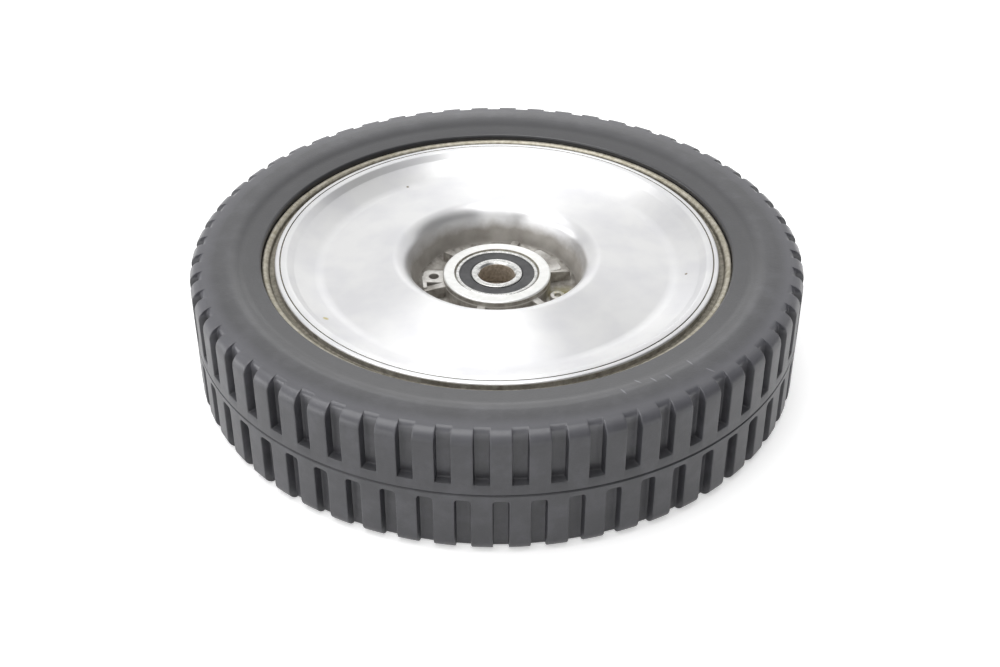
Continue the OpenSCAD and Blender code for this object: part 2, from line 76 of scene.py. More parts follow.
def pick(part: Part, test: Callable[[Vector], bool]) -> None:
    """Selects what passes a test on its middle point, in the mesh that is being edited.

    Args:
        part: Whether vertices, edges or faces are selected.
        test: Says of a point whether its part is wanted.
    """
    bpy.ops.mesh.select_mode(type=part.value)
    bpy.ops.mesh.select_all(action="DESELECT")
    data = bpy.context.object.data
    mesh = bmesh.from_edit_mesh(data)
    if part is Part.VERTICES:
        for vertex in mesh.verts:
            vertex.select_set(test(vertex.co))
    elif part is Part.EDGES:
        for edge in mesh.edges:
            edge.select_set(test((edge.verts[0].co + edge.verts[1].co) / 2))
    else:
        for face in mesh.faces:
            face.select_set(test(face.calc_center_median()))
    mesh.select_flush_mode()
    bmesh.update_edit_mesh(data)


def pick_all() -> None:
    """Selects the whole mesh that is being edited."""
    bpy.ops.mesh.select_mode(type="VERT")
    bpy.ops.mesh.select_all(action="SELECT")


def round_corner(before: Vector, corner: Vector, after: Vector, radius: float) -> None:
    """Rounds one corner of the outline that is being drawn.

    Args:
        before: The corner ahead of it, in metres.
        corner: The corner to round.
        after: The corner that follows.
        radius: The rounding, in metres.
    """
    opening = (before - corner).angle(after - corner)
    reach = radius / math.tan(opening / 2)
    segments = max(2, round(math.degrees(math.pi - opening) / 8))
    pick(Part.VERTICES, lambda p: (p - corner).length < MERGE)
    bpy.ops.mesh.bevel(offset=reach, segments=segments, affect="VERTICES", clamp_overlap=False)


def draw_outline(name: str, corners: Sequence[Corner], upright: bool = True) -> bpy.types.Object:
    """Draws a closed outline from corner to corner and stays in edit mode.

    Args:
        name: The new piece's name.
        corners: Distance from the axle, height and rounding of each corner, in millimetres. For
            an outline that lies flat, the second value is the place along Y.
        upright: Whether the outline stands in the XZ plane.

    Returns:
        The piece, with edges alone.
    """
    bpy.ops.object.select_all(action="DESELECT")
    bpy.ops.mesh.primitive_plane_add(size=MM)
    piece = bpy.context.object
    piece.name = name
    piece.data.name = name
    bpy.ops.object.mode_set(mode="EDIT")
    bpy.ops.mesh.select_mode(type="VERT")
    bpy.ops.mesh.merge(type="CENTER")
    places = [Vector((x, 0, y) if upright else (x, y, 0)) * MM for x, y, _ in corners]
    bpy.ops.transform.translate(value=places[0])
    for start, end in zip(places, places[1:]):
        bpy.ops.mesh.extrude_vertices_move(TRANSFORM_OT_translate={"value": end - start})
    pick(Part.VERTICES, lambda p: min((p - places[0]).length, (p - places[-1]).length) < MERGE)
    bpy.ops.mesh.edge_face_add()
    for i, (_, _, radius) in enumerate(corners):
        if radius > 0:
            round_corner(places[i - 1], places[i], places[(i + 1) % len(places)], radius * MM)
    return piece


def turn_outline(steps: int) -> None:
    """Spins the outline that is being edited once round the axle and closes it."""
    pick_all()
    bpy.ops.mesh.spin(steps=steps, angle=FULL_TURN, center=(0, 0, 0), axis=(0, 0, 1))
    pick_all()
    bpy.ops.mesh.remove_doubles(threshold=MERGE)
    bpy.ops.mesh.normals_make_consistent(inside=False)


def shift(x: float = 0.0, y: float = 0.0, z: float = 0.0) -> None:
    """Moves the whole mesh that is being edited, in millimetres."""
    pick_all()
    bpy.ops.transform.translate(value=Vector((x, y, z)) * MM)


def swing(angle: float) -> None:
    """Turns the whole mesh that is being edited anticlockwise about the axle, in radians."""
    pick_all()
    bpy.ops.transform.rotate(value=-angle, orient_axis="Z", center_override=(0, 0, 0))


def apply_modifier(piece: bpy.types.Object, kind: str, **settings: object) -> None:
    """Gives a piece a modifier and applies it.

    Args:
        piece: The piece, in object mode.
        kind: The modifier's type.
        **settings: Attributes of the modifier.
    """
    bpy.ops.object.mode_set(mode="OBJECT")
    bpy.ops.object.select_all(action="DESELECT")
    piece.select_set(True)
    bpy.context.view_layer.objects.active = piece
    modifier = piece.modifiers.new(kind.lower(), kind)
    for name, value in settings.items():
        setattr(modifier, name, value)
    bpy.ops.object.modifier_apply(modifier=modifier.name)


def soften(piece: bpy.types.Object, width: float, segments: int = 2) -> None:
    """Rounds a piece's sharp edges, by a width in millimetres."""
    apply_modifier(
        piece,
        "BEVEL",
        width=width * MM,
        segments=segments,
        limit_method="ANGLE",
        angle_limit=math.radians(35),
    )


def slab(name: str, corners: Sequence[Corner], thickness: float, upright: bool) -> bpy.types.Object:
    """Makes a solid of even thickness from an outline.

    Args:
        name: The new piece's name.
        corners: The outline's corners, as draw_outline takes them.
        thickness: Thickness in millimetres, half to each side of an upright outline, and
            upwards from one that lies flat.
        upright: Whether the outline stands in the XZ plane.

    Returns:
        The piece, in edit mode.
    """
    piece = draw_outline(name, corners, upright)
    pick_all()
    bpy.ops.mesh.edge_face_add()
    way = Vector((0, thickness * MM, 0) if upright else (0, 0, thickness * MM))
    bpy.ops.mesh.extrude_region_move(TRANSFORM_OT_translate={"value": way})
    if upright:
        shift(y=-thickness / 2)
    pick_all()
    bpy.ops.mesh.normals_make_consistent(inside=False)
    return piece


def drill(piece: bpy.types.Object, x: float, y: float, low: float, radius: float) -> None:
    """Sinks a round hole into a piece from above.

    Args:
        piece: The piece, in object mode.
        x: The hole's place along X, in millimetres.
        y: The hole's place along Y.
        low: Height of its bottom.
        radius: Its radius.
    """
    deep = 20.0
    bpy.ops.object.mode_set(mode="OBJECT")
    bpy.ops.object.select_all(action="DESELECT")
    place = Vector((x, y, low + deep / 2)) * MM
    bpy.ops.mesh.primitive_cylinder_add(
        vertices=40, radius=radius * MM, depth=deep * MM, location=place
    )
    tool = bpy.context.object
    apply_modifier(piece, "BOOLEAN", object=tool, operation="DIFFERENCE", solver="EXACT")
    bpy.data.objects.remove(tool)


def copies_round(piece: bpy.types.Object, angles: Sequence[float]) -> list[bpy.types.Object]:
    """Copies a piece round the axle, each copy with its own mesh, and removes the first one.

    Args:
        piece: The piece at angle 0, in object mode.
        angles: Where the copies stand, in degrees.

    Returns:
        The copies.
    """
    made = []
    for angle in angles:
        bpy.ops.object.select_all(action="DESELECT")
        piece.select_set(True)
        bpy.context.view_layer.objects.active = piece
        bpy.ops.object.duplicate()
        copy = bpy.context.object
        bpy.ops.object.mode_set(mode="EDIT")
        swing(math.radians(angle))
        bpy.ops.object.mode_set(mode="OBJECT")
        made.append(copy)
    bpy.data.objects.remove(piece)
    return made


def join(piece: bpy.types.Object, others: Iterable[bpy.types.Object]) -> None:
    """Joins other pieces into one, each face keeping its material."""
    bpy.ops.object.select_all(action="DESELECT")
    for other in others:
        other.select_set(True)
    piece.select_set(True)
    bpy.context.view_layer.objects.active = piece
    bpy.ops.object.join()


def settle(piece: bpy.types.Object, body: str, slot: str, *nodes: str) -> None:
    """Ends the work on a piece: lifts it to its height, shades it smooth, hangs it on its body and hides
    the nodes that it stands for.

    Args:
        piece: The finished piece.
        body: The body that it moves with.
        slot: Not used.
        *nodes: The nodes that it stands for.
    """
    bpy.ops.object.mode_set(mode="OBJECT")
    bpy.ops.object.select_all(action="DESELECT")
    piece.select_set(True)
    bpy.context.view_layer.objects.active = piece
    bpy.ops.object.mode_set(mode="EDIT")
    shift(z=MIDDLE / MM)
    bpy.ops.object.mode_set(mode="OBJECT")
    bpy.ops.object.shade_smooth_by_angle(angle=math.radians(30))
    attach(piece, body)
    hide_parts(*nodes)


def linear(hex_colour: str) -> Colour:
    """Turns an sRGB hex value such as "#c8c4b8" into the linear colour that sockets take.

    Args:
        hex_colour: Six hex digits after a hash sign.

    Returns:
        Linear red, green and blue, and an alpha of 1.
    """
    parts = [int(hex_colour[i : i + 2], 16) / 255 for i in (1, 3, 5)]
    light = [p / 12.92 if p <= 0.04045 else ((p + 0.055) / 1.055) ** 2.4 for p in parts]
    return (light[0], light[1], light[2], 1.0)


def add_node(
    tree: bpy.types.NodeTree,
    kind: str,
    inputs: Optional[dict[Union[int, str], Input]] = None,
    **settings: object,
) -> bpy.types.Node:
    """Adds one node, sets it and links it.

    Args:
        tree: The node tree that takes the node.
        kind: The node's type, without its "ShaderNode" prefix.
        inputs: Values or output sockets, by the input's index or name.
        **settings: Attributes of the node, such as operation="ADD".

    Returns:
        The new node.
    """
    node = tree.nodes.new("ShaderNode" + kind)
    for name, value in settings.items():
        setattr(node, name, value)
    for key, value in (inputs or {}).items():
        if isinstance(value, bpy.types.NodeSocket):
            tree.links.new(value, node.inputs[key])
        else:
            node.inputs[key].default_value = value
    return node


def new_material(name: str) -> tuple[bpy.types.Material, bpy.types.NodeTree, bpy.types.Node]:
    """Makes a material with nothing but a Principled shader.

    Returns:
        The material, its node tree and its shader.
    """
    material = bpy.data.materials.new(name)
    material.use_nodes = True
    tree = material.node_tree
    tree.nodes.clear()
    shader = add_node(tree, "BsdfPrincipled")
    output = add_node(tree, "OutputMaterial")
    tree.links.new(shader.outputs[0], output.inputs[0])
    return material, tree, shader


@dataclass
class Canvas:
    """The nodes that a material's patterns grow from: a point's place on the wheel."""

    tree: bpy.types.NodeTree

    def __post_init__(self) -> None:
        """Adds the place, the distance from the axle and the height, in millimetres."""
        place = add_node(self.tree, "TexCoord").outputs["Object"]
        self.place = add_node(
            self.tree, "VectorMath", {0: place, 1: (1 / MM, 1 / MM, 1 / MM)}, operation="MULTIPLY"
        ).outputs[0]
        flat = add_node(
            self.tree, "VectorMath", {0: self.place, 1: (1, 1, 0)}, operation="MULTIPLY"
        )
        self.radius = add_node(
            self.tree, "VectorMath", {0: flat.outputs[0]}, operation="LENGTH"
        ).outputs["Value"]
        split = add_node(self.tree, "SeparateXYZ", {0: self.place})
        self.height = add_node(
            self.tree, "Math", {0: split.outputs[2], 1: MIDDLE / MM}, operation="SUBTRACT"
        ).outputs[0]

    def noise(self, size: float, detail: float = 3.0, rough: float = 0.5) -> bpy.types.NodeSocket:
        """A cloudy pattern with patches of a size in millimetres."""
        inputs = {"Vector": self.place, "Scale": 1 / size, "Detail": detail, "Roughness": rough}
        return add_node(self.tree, "TexNoise", inputs).outputs[0]

    def spots(self, size: float, share: float) -> bpy.types.NodeSocket:
        """Scattered specks, 1 inside them, on a share of cells of a size in millimetres."""
        cells = add_node(self.tree, "TexVoronoi", {"Vector": self.place, "Scale": 1 / size})
        near = self.span(cells.outputs["Distance"], 0.32, 0.12)
        chosen = add_node(self.tree, "SeparateColor", {0: cells.outputs["Color"]}).outputs[0]
        kept = self.span(chosen, share, share * 0.8)
        return self.maths("MULTIPLY", near, kept)

    def turned_lines(self, size: float) -> bpy.types.NodeSocket:
        """Fine circles round the axle, as a lathe or a polishing wheel leaves them."""
        along = self.maths("ADD", self.radius, self.maths("MULTIPLY", self.height, 1.37))
        where = add_node(self.tree, "CombineXYZ", {0: along, 1: 0.0, 2: 0.0}).outputs[0]
        inputs = {"Vector": where, "Scale": 1 / size, "Detail": 4.0, "Roughness": 0.7}
        return add_node(self.tree, "TexNoise", inputs).outputs[0]

    def span(self, value: Input, low: float, high: float) -> bpy.types.NodeSocket:
        """0 at the low value and 1 at the high one, clamped."""
        inputs = {0: value, 1: low, 2: high, 3: 0.0, 4: 1.0}
        return add_node(self.tree, "MapRange", inputs).outputs[0]

    def between(self, value: Input, low: float, high: float) -> bpy.types.NodeSocket:
        """A value that runs from low to high as a pattern goes from 0 to 1."""
        return add_node(self.tree, "MapRange", {0: value, 3: low, 4: high}).outputs[0]

    def maths(self, operation: str, first: Input, second: Input = 0.0) -> bpy.types.NodeSocket:
        """One sum of two values."""
        return add_node(self.tree, "Math", {0: first, 1: second}, operation=operation).outputs[0]

    def ramp(self, value: Input, *stops: tuple[float, str]) -> bpy.types.NodeSocket:
        """Colours along a value, given as pairs of a place and an sRGB hex value."""
        node = add_node(self.tree, "ValToRGB", {0: value})
        elements = node.color_ramp.elements
        while len(elements) < len(stops):
            elements.new(1.0)
        for element, (position, colour) in zip(elements, stops):
            element.position = position
            element.color = linear(colour)
        return node.outputs[0]

    def mix(self, share: Input, first: Input, second: Input) -> bpy.types.NodeSocket:
        """The first colour, with a share of the second over it."""
        return add_node(self.tree, "MixRGB", {0: share, 1: first, 2: second}).outputs[0]

    def bump(self, height: Input, depth: float) -> bpy.types.NodeSocket:
        """A normal from a height pattern that is a depth in millimetres from 0 to 1."""
        return add_node(self.tree, "Bump", {"Height": height, "Distance": depth * MM}).outputs[0]

    def stroke(
        self, x: float, y: float, degrees: float, half_length: float, half_width: float
    ) -> bpy.types.NodeSocket:
        """1 along a short scratch on the upper side, fading to 0 beside it.

        Args:
            x: Place of its middle along X, in millimetres.
            y: Place of its middle along Y.
            degrees: Its direction, from X.
            half_length: Half its length.
            half_width: Half its width.
        """
        here = add_node(
            self.tree, "VectorMath", {0: self.place, 1: (x, y, 0)}, operation="SUBTRACT"
        ).outputs[0]
        turned = add_node(
            self.tree,
            "VectorRotate",
            {"Vector": here, "Angle": -math.radians(degrees)},
            rotation_type="Z_AXIS",
        ).outputs[0]
        squashed = add_node(
            self.tree,
            "VectorMath",
            {0: turned, 1: (1 / half_length, 1 / half_width, 0)},
            operation="MULTIPLY",
        ).outputs[0]
        away = add_node(self.tree, "VectorMath", {0: squashed}, operation="LENGTH")
        return self.span(away.outputs["Value"], 1.0, 0.5)

    def near_point(self, x: float, y: float, reach: float, ragged: float) -> bpy.types.NodeSocket:
        """1 at a point of the wheel, seen from above, fading to 0 at a ragged edge.

        Args:
            x: The point's place along X, in millimetres.
            y: Its place along Y.
            reach: How far the patch reaches, in millimetres.
            ragged: How much the edge wanders.
        """
        flat = add_node(
            self.tree, "VectorMath", {0: self.place, 1: (1, 1, 0)}, operation="MULTIPLY"
        )
        away = add_node(
            self.tree, "VectorMath", {0: flat.outputs[0], 1: (x, y, 0)}, operation="DISTANCE"
        ).outputs["Value"]
        wander = self.between(self.noise(reach * 0.5, 4.0, 0.65), -ragged, ragged)
        return self.span(self.maths("ADD", away, wander), reach, reach * 0.45)


@dataclass(frozen=True)
class DustyRubber:
    """Moulded solid rubber, greyed by dust, with smudges and the dull patches of handling, a painted
    shade on the strip beside the rim, and a lighter outer upper sidewall that is partly dust and partly
    painted sheen.
    """

    rubber: str = "#37373b"
    dusty: str = "#444449"
    smudge: str = "#313135"
    # Dark tone painted on the strip beside the rim, as shade.
    rim_shade: str = "#222226"
    # Lighter tone for the outer upper sidewall: partly dust, partly a painted sheen.
    dust_and_sheen: str = "#5b5b61"
    scratch: str = "#68686e"
    roughness: float = 0.34
    specular: float = 0.6
    gloss: float = 0.6
    gloss_roughness: float = 0.2
    scratches: tuple[tuple[float, float, float], ...] = (
        (41.2, -75.6, 128.0), (45.8, -75.2, 125.0), (50.3, -74.0, 122.0), (57.3, -66.8, 118.0),
        (36.6, -80.9, 118.0), (63.0, -70.8, 150.0),
    )

    def material(self) -> bpy.types.Material:
        """Builds the node material."""
        made, tree, shader = new_material("solid_rubber_dusty")
        canvas = Canvas(tree)
        clouds = canvas.ramp(
            canvas.noise(9.0, 5.0, 0.6), (0.32, self.smudge), (0.5, self.rubber), (0.72, self.dusty)
        )
        # Painted shade: the sidewall is darkened towards the rim, inside 88.5 mm from the axle.
        rim_shade_mask = canvas.span(canvas.radius, 88.5, 85.5)
        clouds = canvas.mix(canvas.maths("MULTIPLY", rim_shade_mask, 0.8), clouds, linear(self.rim_shade))
        outer = canvas.span(canvas.radius, 93.0, 96.5)
        on_side = canvas.span(canvas.height, 18.0, 21.0)
        # Outer upper sidewall lightened: partly dust, partly a painted sheen on the shoulder.
        dust_and_sheen = canvas.maths("MULTIPLY", outer, canvas.maths("MULTIPLY", on_side, 0.6))
        clouds = canvas.mix(dust_and_sheen, clouds, linear(self.dust_and_sheen))
        grain = canvas.noise(0.7, 4.0, 0.7)
        speckled = canvas.mix(canvas.between(grain, -0.4, 0.3), clouds, linear(self.dusty))
        for x, y, degrees in self.scratches:
            mark = canvas.stroke(x, y, degrees, 1.9, 0.35)
            speckled = canvas.mix(mark, speckled, linear(self.scratch))
        tree.links.new(speckled, shader.inputs["Base Color"])
        rough = canvas.between(canvas.noise(5.0), self.roughness - 0.05, self.roughness + 0.06)
        rough = canvas.maths("ADD", rough, canvas.maths("MULTIPLY", outer, 0.12))
        tree.links.new(rough, shader.inputs["Roughness"])
        shader.inputs["Specular IOR Level"].default_value = self.specular
        gloss = canvas.maths("MULTIPLY", canvas.span(on_side, -0.2, 1.0), self.gloss)
        tree.links.new(gloss, shader.inputs["Coat Weight"])
        shader.inputs["Coat Roughness"].default_value = self.gloss_roughness
        tree.links.new(canvas.bump(grain, 0.05), shader.inputs["Normal"])
        return made


@dataclass(frozen=True)
class SealRubber:
    """The moulded black rubber of a bearing seal, unsoiled and satin."""

    colour: str = "#363638"
    wear_and_highlight: str = "#4b4b4c"
    roughness: float = 0.38

    def material(self) -> bpy.types.Material:
        """Builds the node material."""
        made, tree, shader = new_material("seal_rubber_satin")
        canvas = Canvas(tree)
        smears = canvas.ramp(canvas.noise(3.0, 4.0), (0.35, self.colour), (0.7, self.wear_and_highlight))
        tree.links.new(smears, shader.inputs["Base Color"])
        shader.inputs["Roughness"].default_value = self.roughness
        tree.links.new(canvas.bump(canvas.turned_lines(0.35), 0.012), shader.inputs["Normal"])
        return made


@dataclass(frozen=True)
class PolishedAluminium:
    """A cast face turned and buffed bright, with fine circles, a haze and a few dirt specks."""

    colour: str = "#f4f4f4"
    haze: str = "#ebebed"
    cast_look: str = "#b5b1ab"
    cast_dark: str = "#99948d"
    speck: str = "#8a7c66"
    stain: str = "#d3c68e"
    specks: tuple[Point, ...] = ((62.7, -9.5), (-32.5, 50.0))
    stain_at: Point = (-54.1, -36.2)
    sharp: float = 0.25
    blurred: float = 0.42
    anisotropy: float = 0.85
    fade_from: float = 9.5
    fade_to: float = 13.5

    def material(self) -> bpy.types.Material:
        """Builds the node material."""
        made, tree, shader = new_material("aluminium_polished")
        canvas = Canvas(tree)
        colour = canvas.ramp(canvas.noise(14.0, 4.0), (0.35, self.haze), (0.62, self.colour))
        for x, y in self.specks:
            colour = canvas.mix(canvas.near_point(x, y, 0.6, 0.3), colour, linear(self.speck))
        x, y = self.stain_at
        colour = canvas.mix(canvas.near_point(x, y, 1.1, 0.6), colour, linear(self.stain))
        edge = canvas.maths("ADD", canvas.height, canvas.between(canvas.noise(5.0), -2.0, 2.0))
        unpolished = canvas.span(edge, self.fade_to, self.fade_from)
        in_recess = canvas.span(canvas.radius, 33.0, 31.0)
        cast = canvas.maths("MULTIPLY", unpolished, in_recess)
        mottle = canvas.ramp(
            canvas.noise(6.0, 4.0, 0.5), (0.28, self.cast_dark), (0.7, self.cast_look)
        )
        colour = canvas.mix(cast, colour, mottle)
        tree.links.new(colour, shader.inputs["Base Color"])
        metal = canvas.span(cast, 1.6, 0.0)
        tree.links.new(metal, shader.inputs["Metallic"])
        lines = canvas.turned_lines(0.5)
        rough = canvas.between(canvas.span(lines, 0.25, 0.75), self.sharp, self.blurred)
        rough = canvas.maths("MAXIMUM", rough, canvas.maths("MULTIPLY", cast, 0.5))
        tree.links.new(rough, shader.inputs["Roughness"])
        shader.inputs["Anisotropic"].default_value = self.anisotropy
        shader.inputs["Anisotropic Rotation"].default_value = 0.25
        round_axle = add_node(tree, "Tangent", direction_type="RADIAL", axis="Z")
        tree.links.new(round_axle.outputs[0], shader.inputs["Tangent"])
        ripple = canvas.maths("MULTIPLY", canvas.turned_lines(1.6), in_recess)
        relief = canvas.maths("ADD", lines, canvas.maths("MULTIPLY", ripple, 20.0))
        tree.links.new(canvas.bump(relief, 0.0007), shader.inputs["Normal"])
        return made


@dataclass(frozen=True)
class CastAluminium:
    """Aluminium as it left the mould: grey-brown, mottled and grainy, stained near the lug, with a
    painted highlight on the tops of its ribs and lugs.
    """

    pale: str = "#c0bdb7"
    middle: str = "#a39f99"
    dark: str = "#807b74"
    # Pale tone painted on the tops of the ribs, lugs and pad, as a highlight.
    wear_and_highlight: str = "#e4e2de"
    stain: str = "#7c7648"
    crust: str = "#cfc58d"
    stain_at: Point = (22.3, -4.8)
    stain_reach: float = 6.5
    tops: Point = (7.6, 8.0)
    boss_side: Point = (8.35, 8.25)
    plain_at: Point = (18.3, 11.2)
    roughness: float = 0.5

    def material(self) -> bpy.types.Material:
        """Builds the node material."""
        made, tree, shader = new_material("aluminium_as_cast")
        canvas = Canvas(tree)
        mottle = canvas.ramp(
            canvas.noise(3.2, 5.0, 0.6), (0.3, self.dark), (0.5, self.middle), (0.68, self.pale)
        )
        # Painted highlight: faces at the height of the rib and lug tops near the boss are lightened,
        # broken up by noise, and less so on the pad.
        low, high = self.tops
        near_boss = canvas.span(canvas.radius, 26.5, 26.0)
        lit_tops = canvas.maths("MULTIPLY", canvas.span(canvas.height, low, high), near_boss)
        lit_tops = canvas.maths("MULTIPLY", lit_tops, canvas.span(canvas.height, *self.boss_side))
        plain = canvas.near_point(*self.plain_at, 7.0, 0.5)
        lit_tops = canvas.maths("SUBTRACT", lit_tops, canvas.maths("MULTIPLY", plain, 0.75))
        lit_tops = canvas.maths("MAXIMUM", lit_tops, 0.0)
        top_highlight_mask = canvas.maths("MULTIPLY", lit_tops, canvas.between(canvas.noise(1.2), 0.4, 1.1))
        mottle = canvas.mix(top_highlight_mask, mottle, linear(self.wear_and_highlight))
        x, y = self.stain_at
        patch = canvas.near_point(x, y, self.stain_reach, 2.5)
        stained = canvas.mix(canvas.maths("MULTIPLY", patch, 0.85), mottle, linear(self.stain))
        crusted = canvas.maths("MULTIPLY", patch, canvas.spots(1.6, 0.5))
        coloured = canvas.mix(crusted, stained, linear(self.crust))
        tree.links.new(coloured, shader.inputs["Base Color"])
        bare = canvas.maths("SUBTRACT", 0.6, canvas.maths("MULTIPLY", patch, 0.5))
        tree.links.new(bare, shader.inputs["Metallic"])
        rough = canvas.between(canvas.noise(2.0), self.roughness - 0.1, self.roughness + 0.15)
        tree.links.new(rough, shader.inputs["Roughness"])
        pits = canvas.maths("ADD", canvas.noise(0.9, 4.0, 0.65), canvas.noise(4.0, 2.0))
        tree.links.new(canvas.bump(pits, 0.16), shader.inputs["Normal"])
        return made


@dataclass(frozen=True)
class Steel:
    """A plain steel finish: a colour with a fine mottle and, where turned, fine circles."""

    name: str
    colour: str
    shade: str
    roughness: float
    grain: float = 1.0
    lines: float = 0.0
    metallic: float = 1.0

    def material(self) -> bpy.types.Material:
        """Builds the node material."""
        made, tree, shader = new_material(self.name)
        canvas = Canvas(tree)
        mottle = canvas.noise(self.grain, 3.0)
        tree.links.new(
            canvas.ramp(mottle, (0.32, self.shade), (0.66, self.colour)),
            shader.inputs["Base Color"],
        )
        shader.inputs["Metallic"].default_value = self.metallic
        rough = canvas.between(mottle, self.roughness * 0.8, self.roughness * 1.25)
        tree.links.new(rough, shader.inputs["Roughness"])
        if self.lines > 0:
            normal = canvas.bump(canvas.turned_lines(0.25), self.lines)
            tree.links.new(normal, shader.inputs["Normal"])
        return made


def dress(names: Iterable[str], material: bpy.types.Material) -> None:
    """Gives CAD nodes a finish, in place of the plain one that they come with."""
    for name in names:
        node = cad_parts[name]
        for slot in node.material_slots:
            slot.material = material


@dataclass(frozen=True)
class TreadSide:
    """One side of the tyre: where its grooves start and how its edge is shaped, in mm."""

    sign: int
    start: float
    corner: float
    edge_round: float
    edge_drop: float
    shoulder_w: float
    mouth: float


@dataclass
class Tyre:
    """The solid rubber tyre, with a staggered row of grooves on each side of its middle."""

    radius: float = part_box("tyre")[1][0] / MM
    crest: float = (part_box("tyre")[1][2] - MIDDLE) / MM
    front: TreadSide = TreadSide(1, 3.9, 0.45, 4.2, 0.6, 8.0, 2.0)
    rear: TreadSide = TreadSide(-1, 2.2, 1.2, 3.9, 0.3, 5.3, 1.1)
    ring_from: float = 88.2
    step: float = 1.1
    step_w: float = 3.5
    lip_fall: float = 0.5
    seat_r: float = 72.3
    seat_half_w: float = 15.0
    lip_inner_r: float = 78.35
    lip_round: float = 0.8
    line_w: float = 0.9
    line_depth: float = 0.5
    groove_count: int = 57
    groove_w: float = 4.7
    groove_depth: float = 3.0
    rim: float = 0.28
    first_groove_deg: float = 270.7
    levels: tuple[Point, ...] = (
        (0.03, 0.17), (0.1, 0.28), (0.84, 0.33), (0.95, 0.48), (1.0, 0.8)
    )

    @property
    def pitch(self) -> float:
        """Angle from one groove to the next, in radians."""
        return FULL_TURN / self.groove_count

    @property
    def rim_half_w(self) -> float:
        """Half the width of a groove at the outside of its softened rim."""
        return self.groove_w / 2 + self.rim

    def shoulder_height(self, side: TreadSide, r: float) -> float:
        """Height of the sidewall at a distance from the axle, out on the shoulder."""
        return self.crest - side.edge_drop * (r - self.radius + side.shoulder_w) / side.shoulder_w

    def half_section(self, side: TreadSide) -> list[Corner]:
        """Corners from the middle of the tread round to the seat on the rim."""
        floor = self.radius - self.groove_depth
        end, corner = side.start - self.rim, side.corner
        rows = [end, end + 0.12 * corner, end + 0.4 * corner, end + corner]
        rows += [side.start + 1.2, 8, 12, 16]
        first, last = self.radius - side.edge_round - 0.05, floor - side.mouth
        count = max(3, round((first - last) / 0.6) + 1)
        mouth = [first + (last - first) * i / (count - 1) for i in range(count)]
        corners = [(self.radius, self.line_w / 2, 0)]
        corners += [(self.radius, row, 0) for row in rows]
        corners += [(self.radius, self.crest - side.edge_drop, side.edge_round)]
        corners += [(r, self.shoulder_height(side, r), 0) for r in mouth]
        corners += [
            (self.radius - side.shoulder_w, self.crest, 6),
            (self.ring_from, self.crest, 12),
            (self.ring_from - self.step_w, self.crest - self.step, 10),
            (self.lip_inner_r, self.crest - self.step - self.lip_fall, self.lip_round),
            (self.lip_inner_r, self.seat_half_w, 0),
            (self.seat_r, self.seat_half_w, 0),
        ]
        return [(r, side.sign * z, rounding) for r, z, rounding in corners]

    def spin_pitch(self) -> None:
        """Turns the section through one groove of the front row and one of the rear row."""
        rim = math.asin(self.rim_half_w / self.radius)
        land = self.pitch / 2 - 2 * rim
        pick_all()
        for angle, steps in ((rim, 2), (land / 2, 1)):
            self.spin_on(angle, steps)
        pick(Part.EDGES, lambda p: abs(p.y) < MERGE)
        for angle, steps in ((-rim, 2), (-land, 1), (-2 * rim, 4), (-land / 2, 1)):
            self.spin_on(angle, steps)

    def spin_on(self, angle: float, steps: int) -> None:
        """Spins what is selected on by an angle in radians, anticlockwise if positive."""
        bpy.ops.mesh.spin(steps=steps, angle=-angle, center=(0, 0, 0), axis=(0, 0, 1))

    def floor_point(self, side: TreadSide, x: float, z: float) -> tuple[float, float, float]:
        """Where a point of the tread goes when it is pressed to the floor of a groove.

        Args:
            side: The side of the tyre.
            x: The point's distance from the axle plane of the groove, in millimetres.
            z: Its height above the middle, towards the groove's own side.

        Returns:
            Its new distance and height, and how deep the groove is there, from 0 at the very
            mouth to 1.
        """
        floor = self.radius - self.groove_depth
        centre_x = floor - side.mouth
        centre_z = self.shoulder_height(side, centre_x) - side.mouth
        if z <= centre_z:
            return floor, z, 1.0
        away = Vector((x - centre_x, z - centre_z))
        if away.x < 0.05:
            return x, z, 0.0
        away.normalize()
        return (
            centre_x + side.mouth * away.x,
            centre_z + side.mouth * away.y,
            away.x,
        )

    def press_groove(self, angle: float, side: TreadSide) -> None:
        """Presses a groove into the tread, level by level, with a softened rim and floor.

        Args:
            angle: Where the groove stands, in radians.
            side: The side of the tyre.
        """
        out = Vector((math.cos(angle), math.sin(angle), 0))
        along = Vector((-out.y, out.x, 0))
        sign, corner = side.sign, side.corner
        end = side.start - self.rim
        fade = self.rim + 1.2
        wide = self.rim_half_w
        from_r = self.radius - self.groove_depth - side.mouth
        pick(
            Part.FACES,
            lambda p: abs(p.dot(along)) < wide * MM
            and p.dot(out) > from_r * MM
            and sign * p.z > end * MM,
        )
        data = bpy.context.object.data
        before_share, before_inset = 0.0, 0.0
        for share, inset in ((0.0, 0.0), *self.levels):
            if share > 0:
                bpy.ops.mesh.extrude_region()
            mesh = bmesh.from_edit_mesh(data)
            for vertex in [v for v in mesh.verts if v.select]:
                x, y, z = (n / MM for n in (vertex.co @ out, vertex.co @ along, sign * vertex.co.z))
                if share == 0:
                    short = max(0.0, corner - (z - end))
                    cut = corner - math.sqrt(corner**2 - short**2)
                    new_y = y * (wide - cut) / wide
                    x = math.sqrt(x**2 + y**2 - new_y**2)
                    y = new_y
                else:
                    floor_x, floor_z, grip = self.floor_point(side, x, z)
                    stretch = (share - before_share) / (1 - before_share)
                    x += (floor_x - x) * stretch
                    z += (floor_z - z) * stretch
                    y *= 1 - grip * (inset - before_inset) / (wide - before_inset)
                    late = (z - end - before_inset) / (fade - before_inset)
                    z += max(0.0, 1 - late) * (inset - before_inset)
                vertex.co = (out * x + along * y + Vector((0, 0, sign * z))) * MM
            bmesh.update_edit_mesh(data)
            before_share, before_inset = share, inset

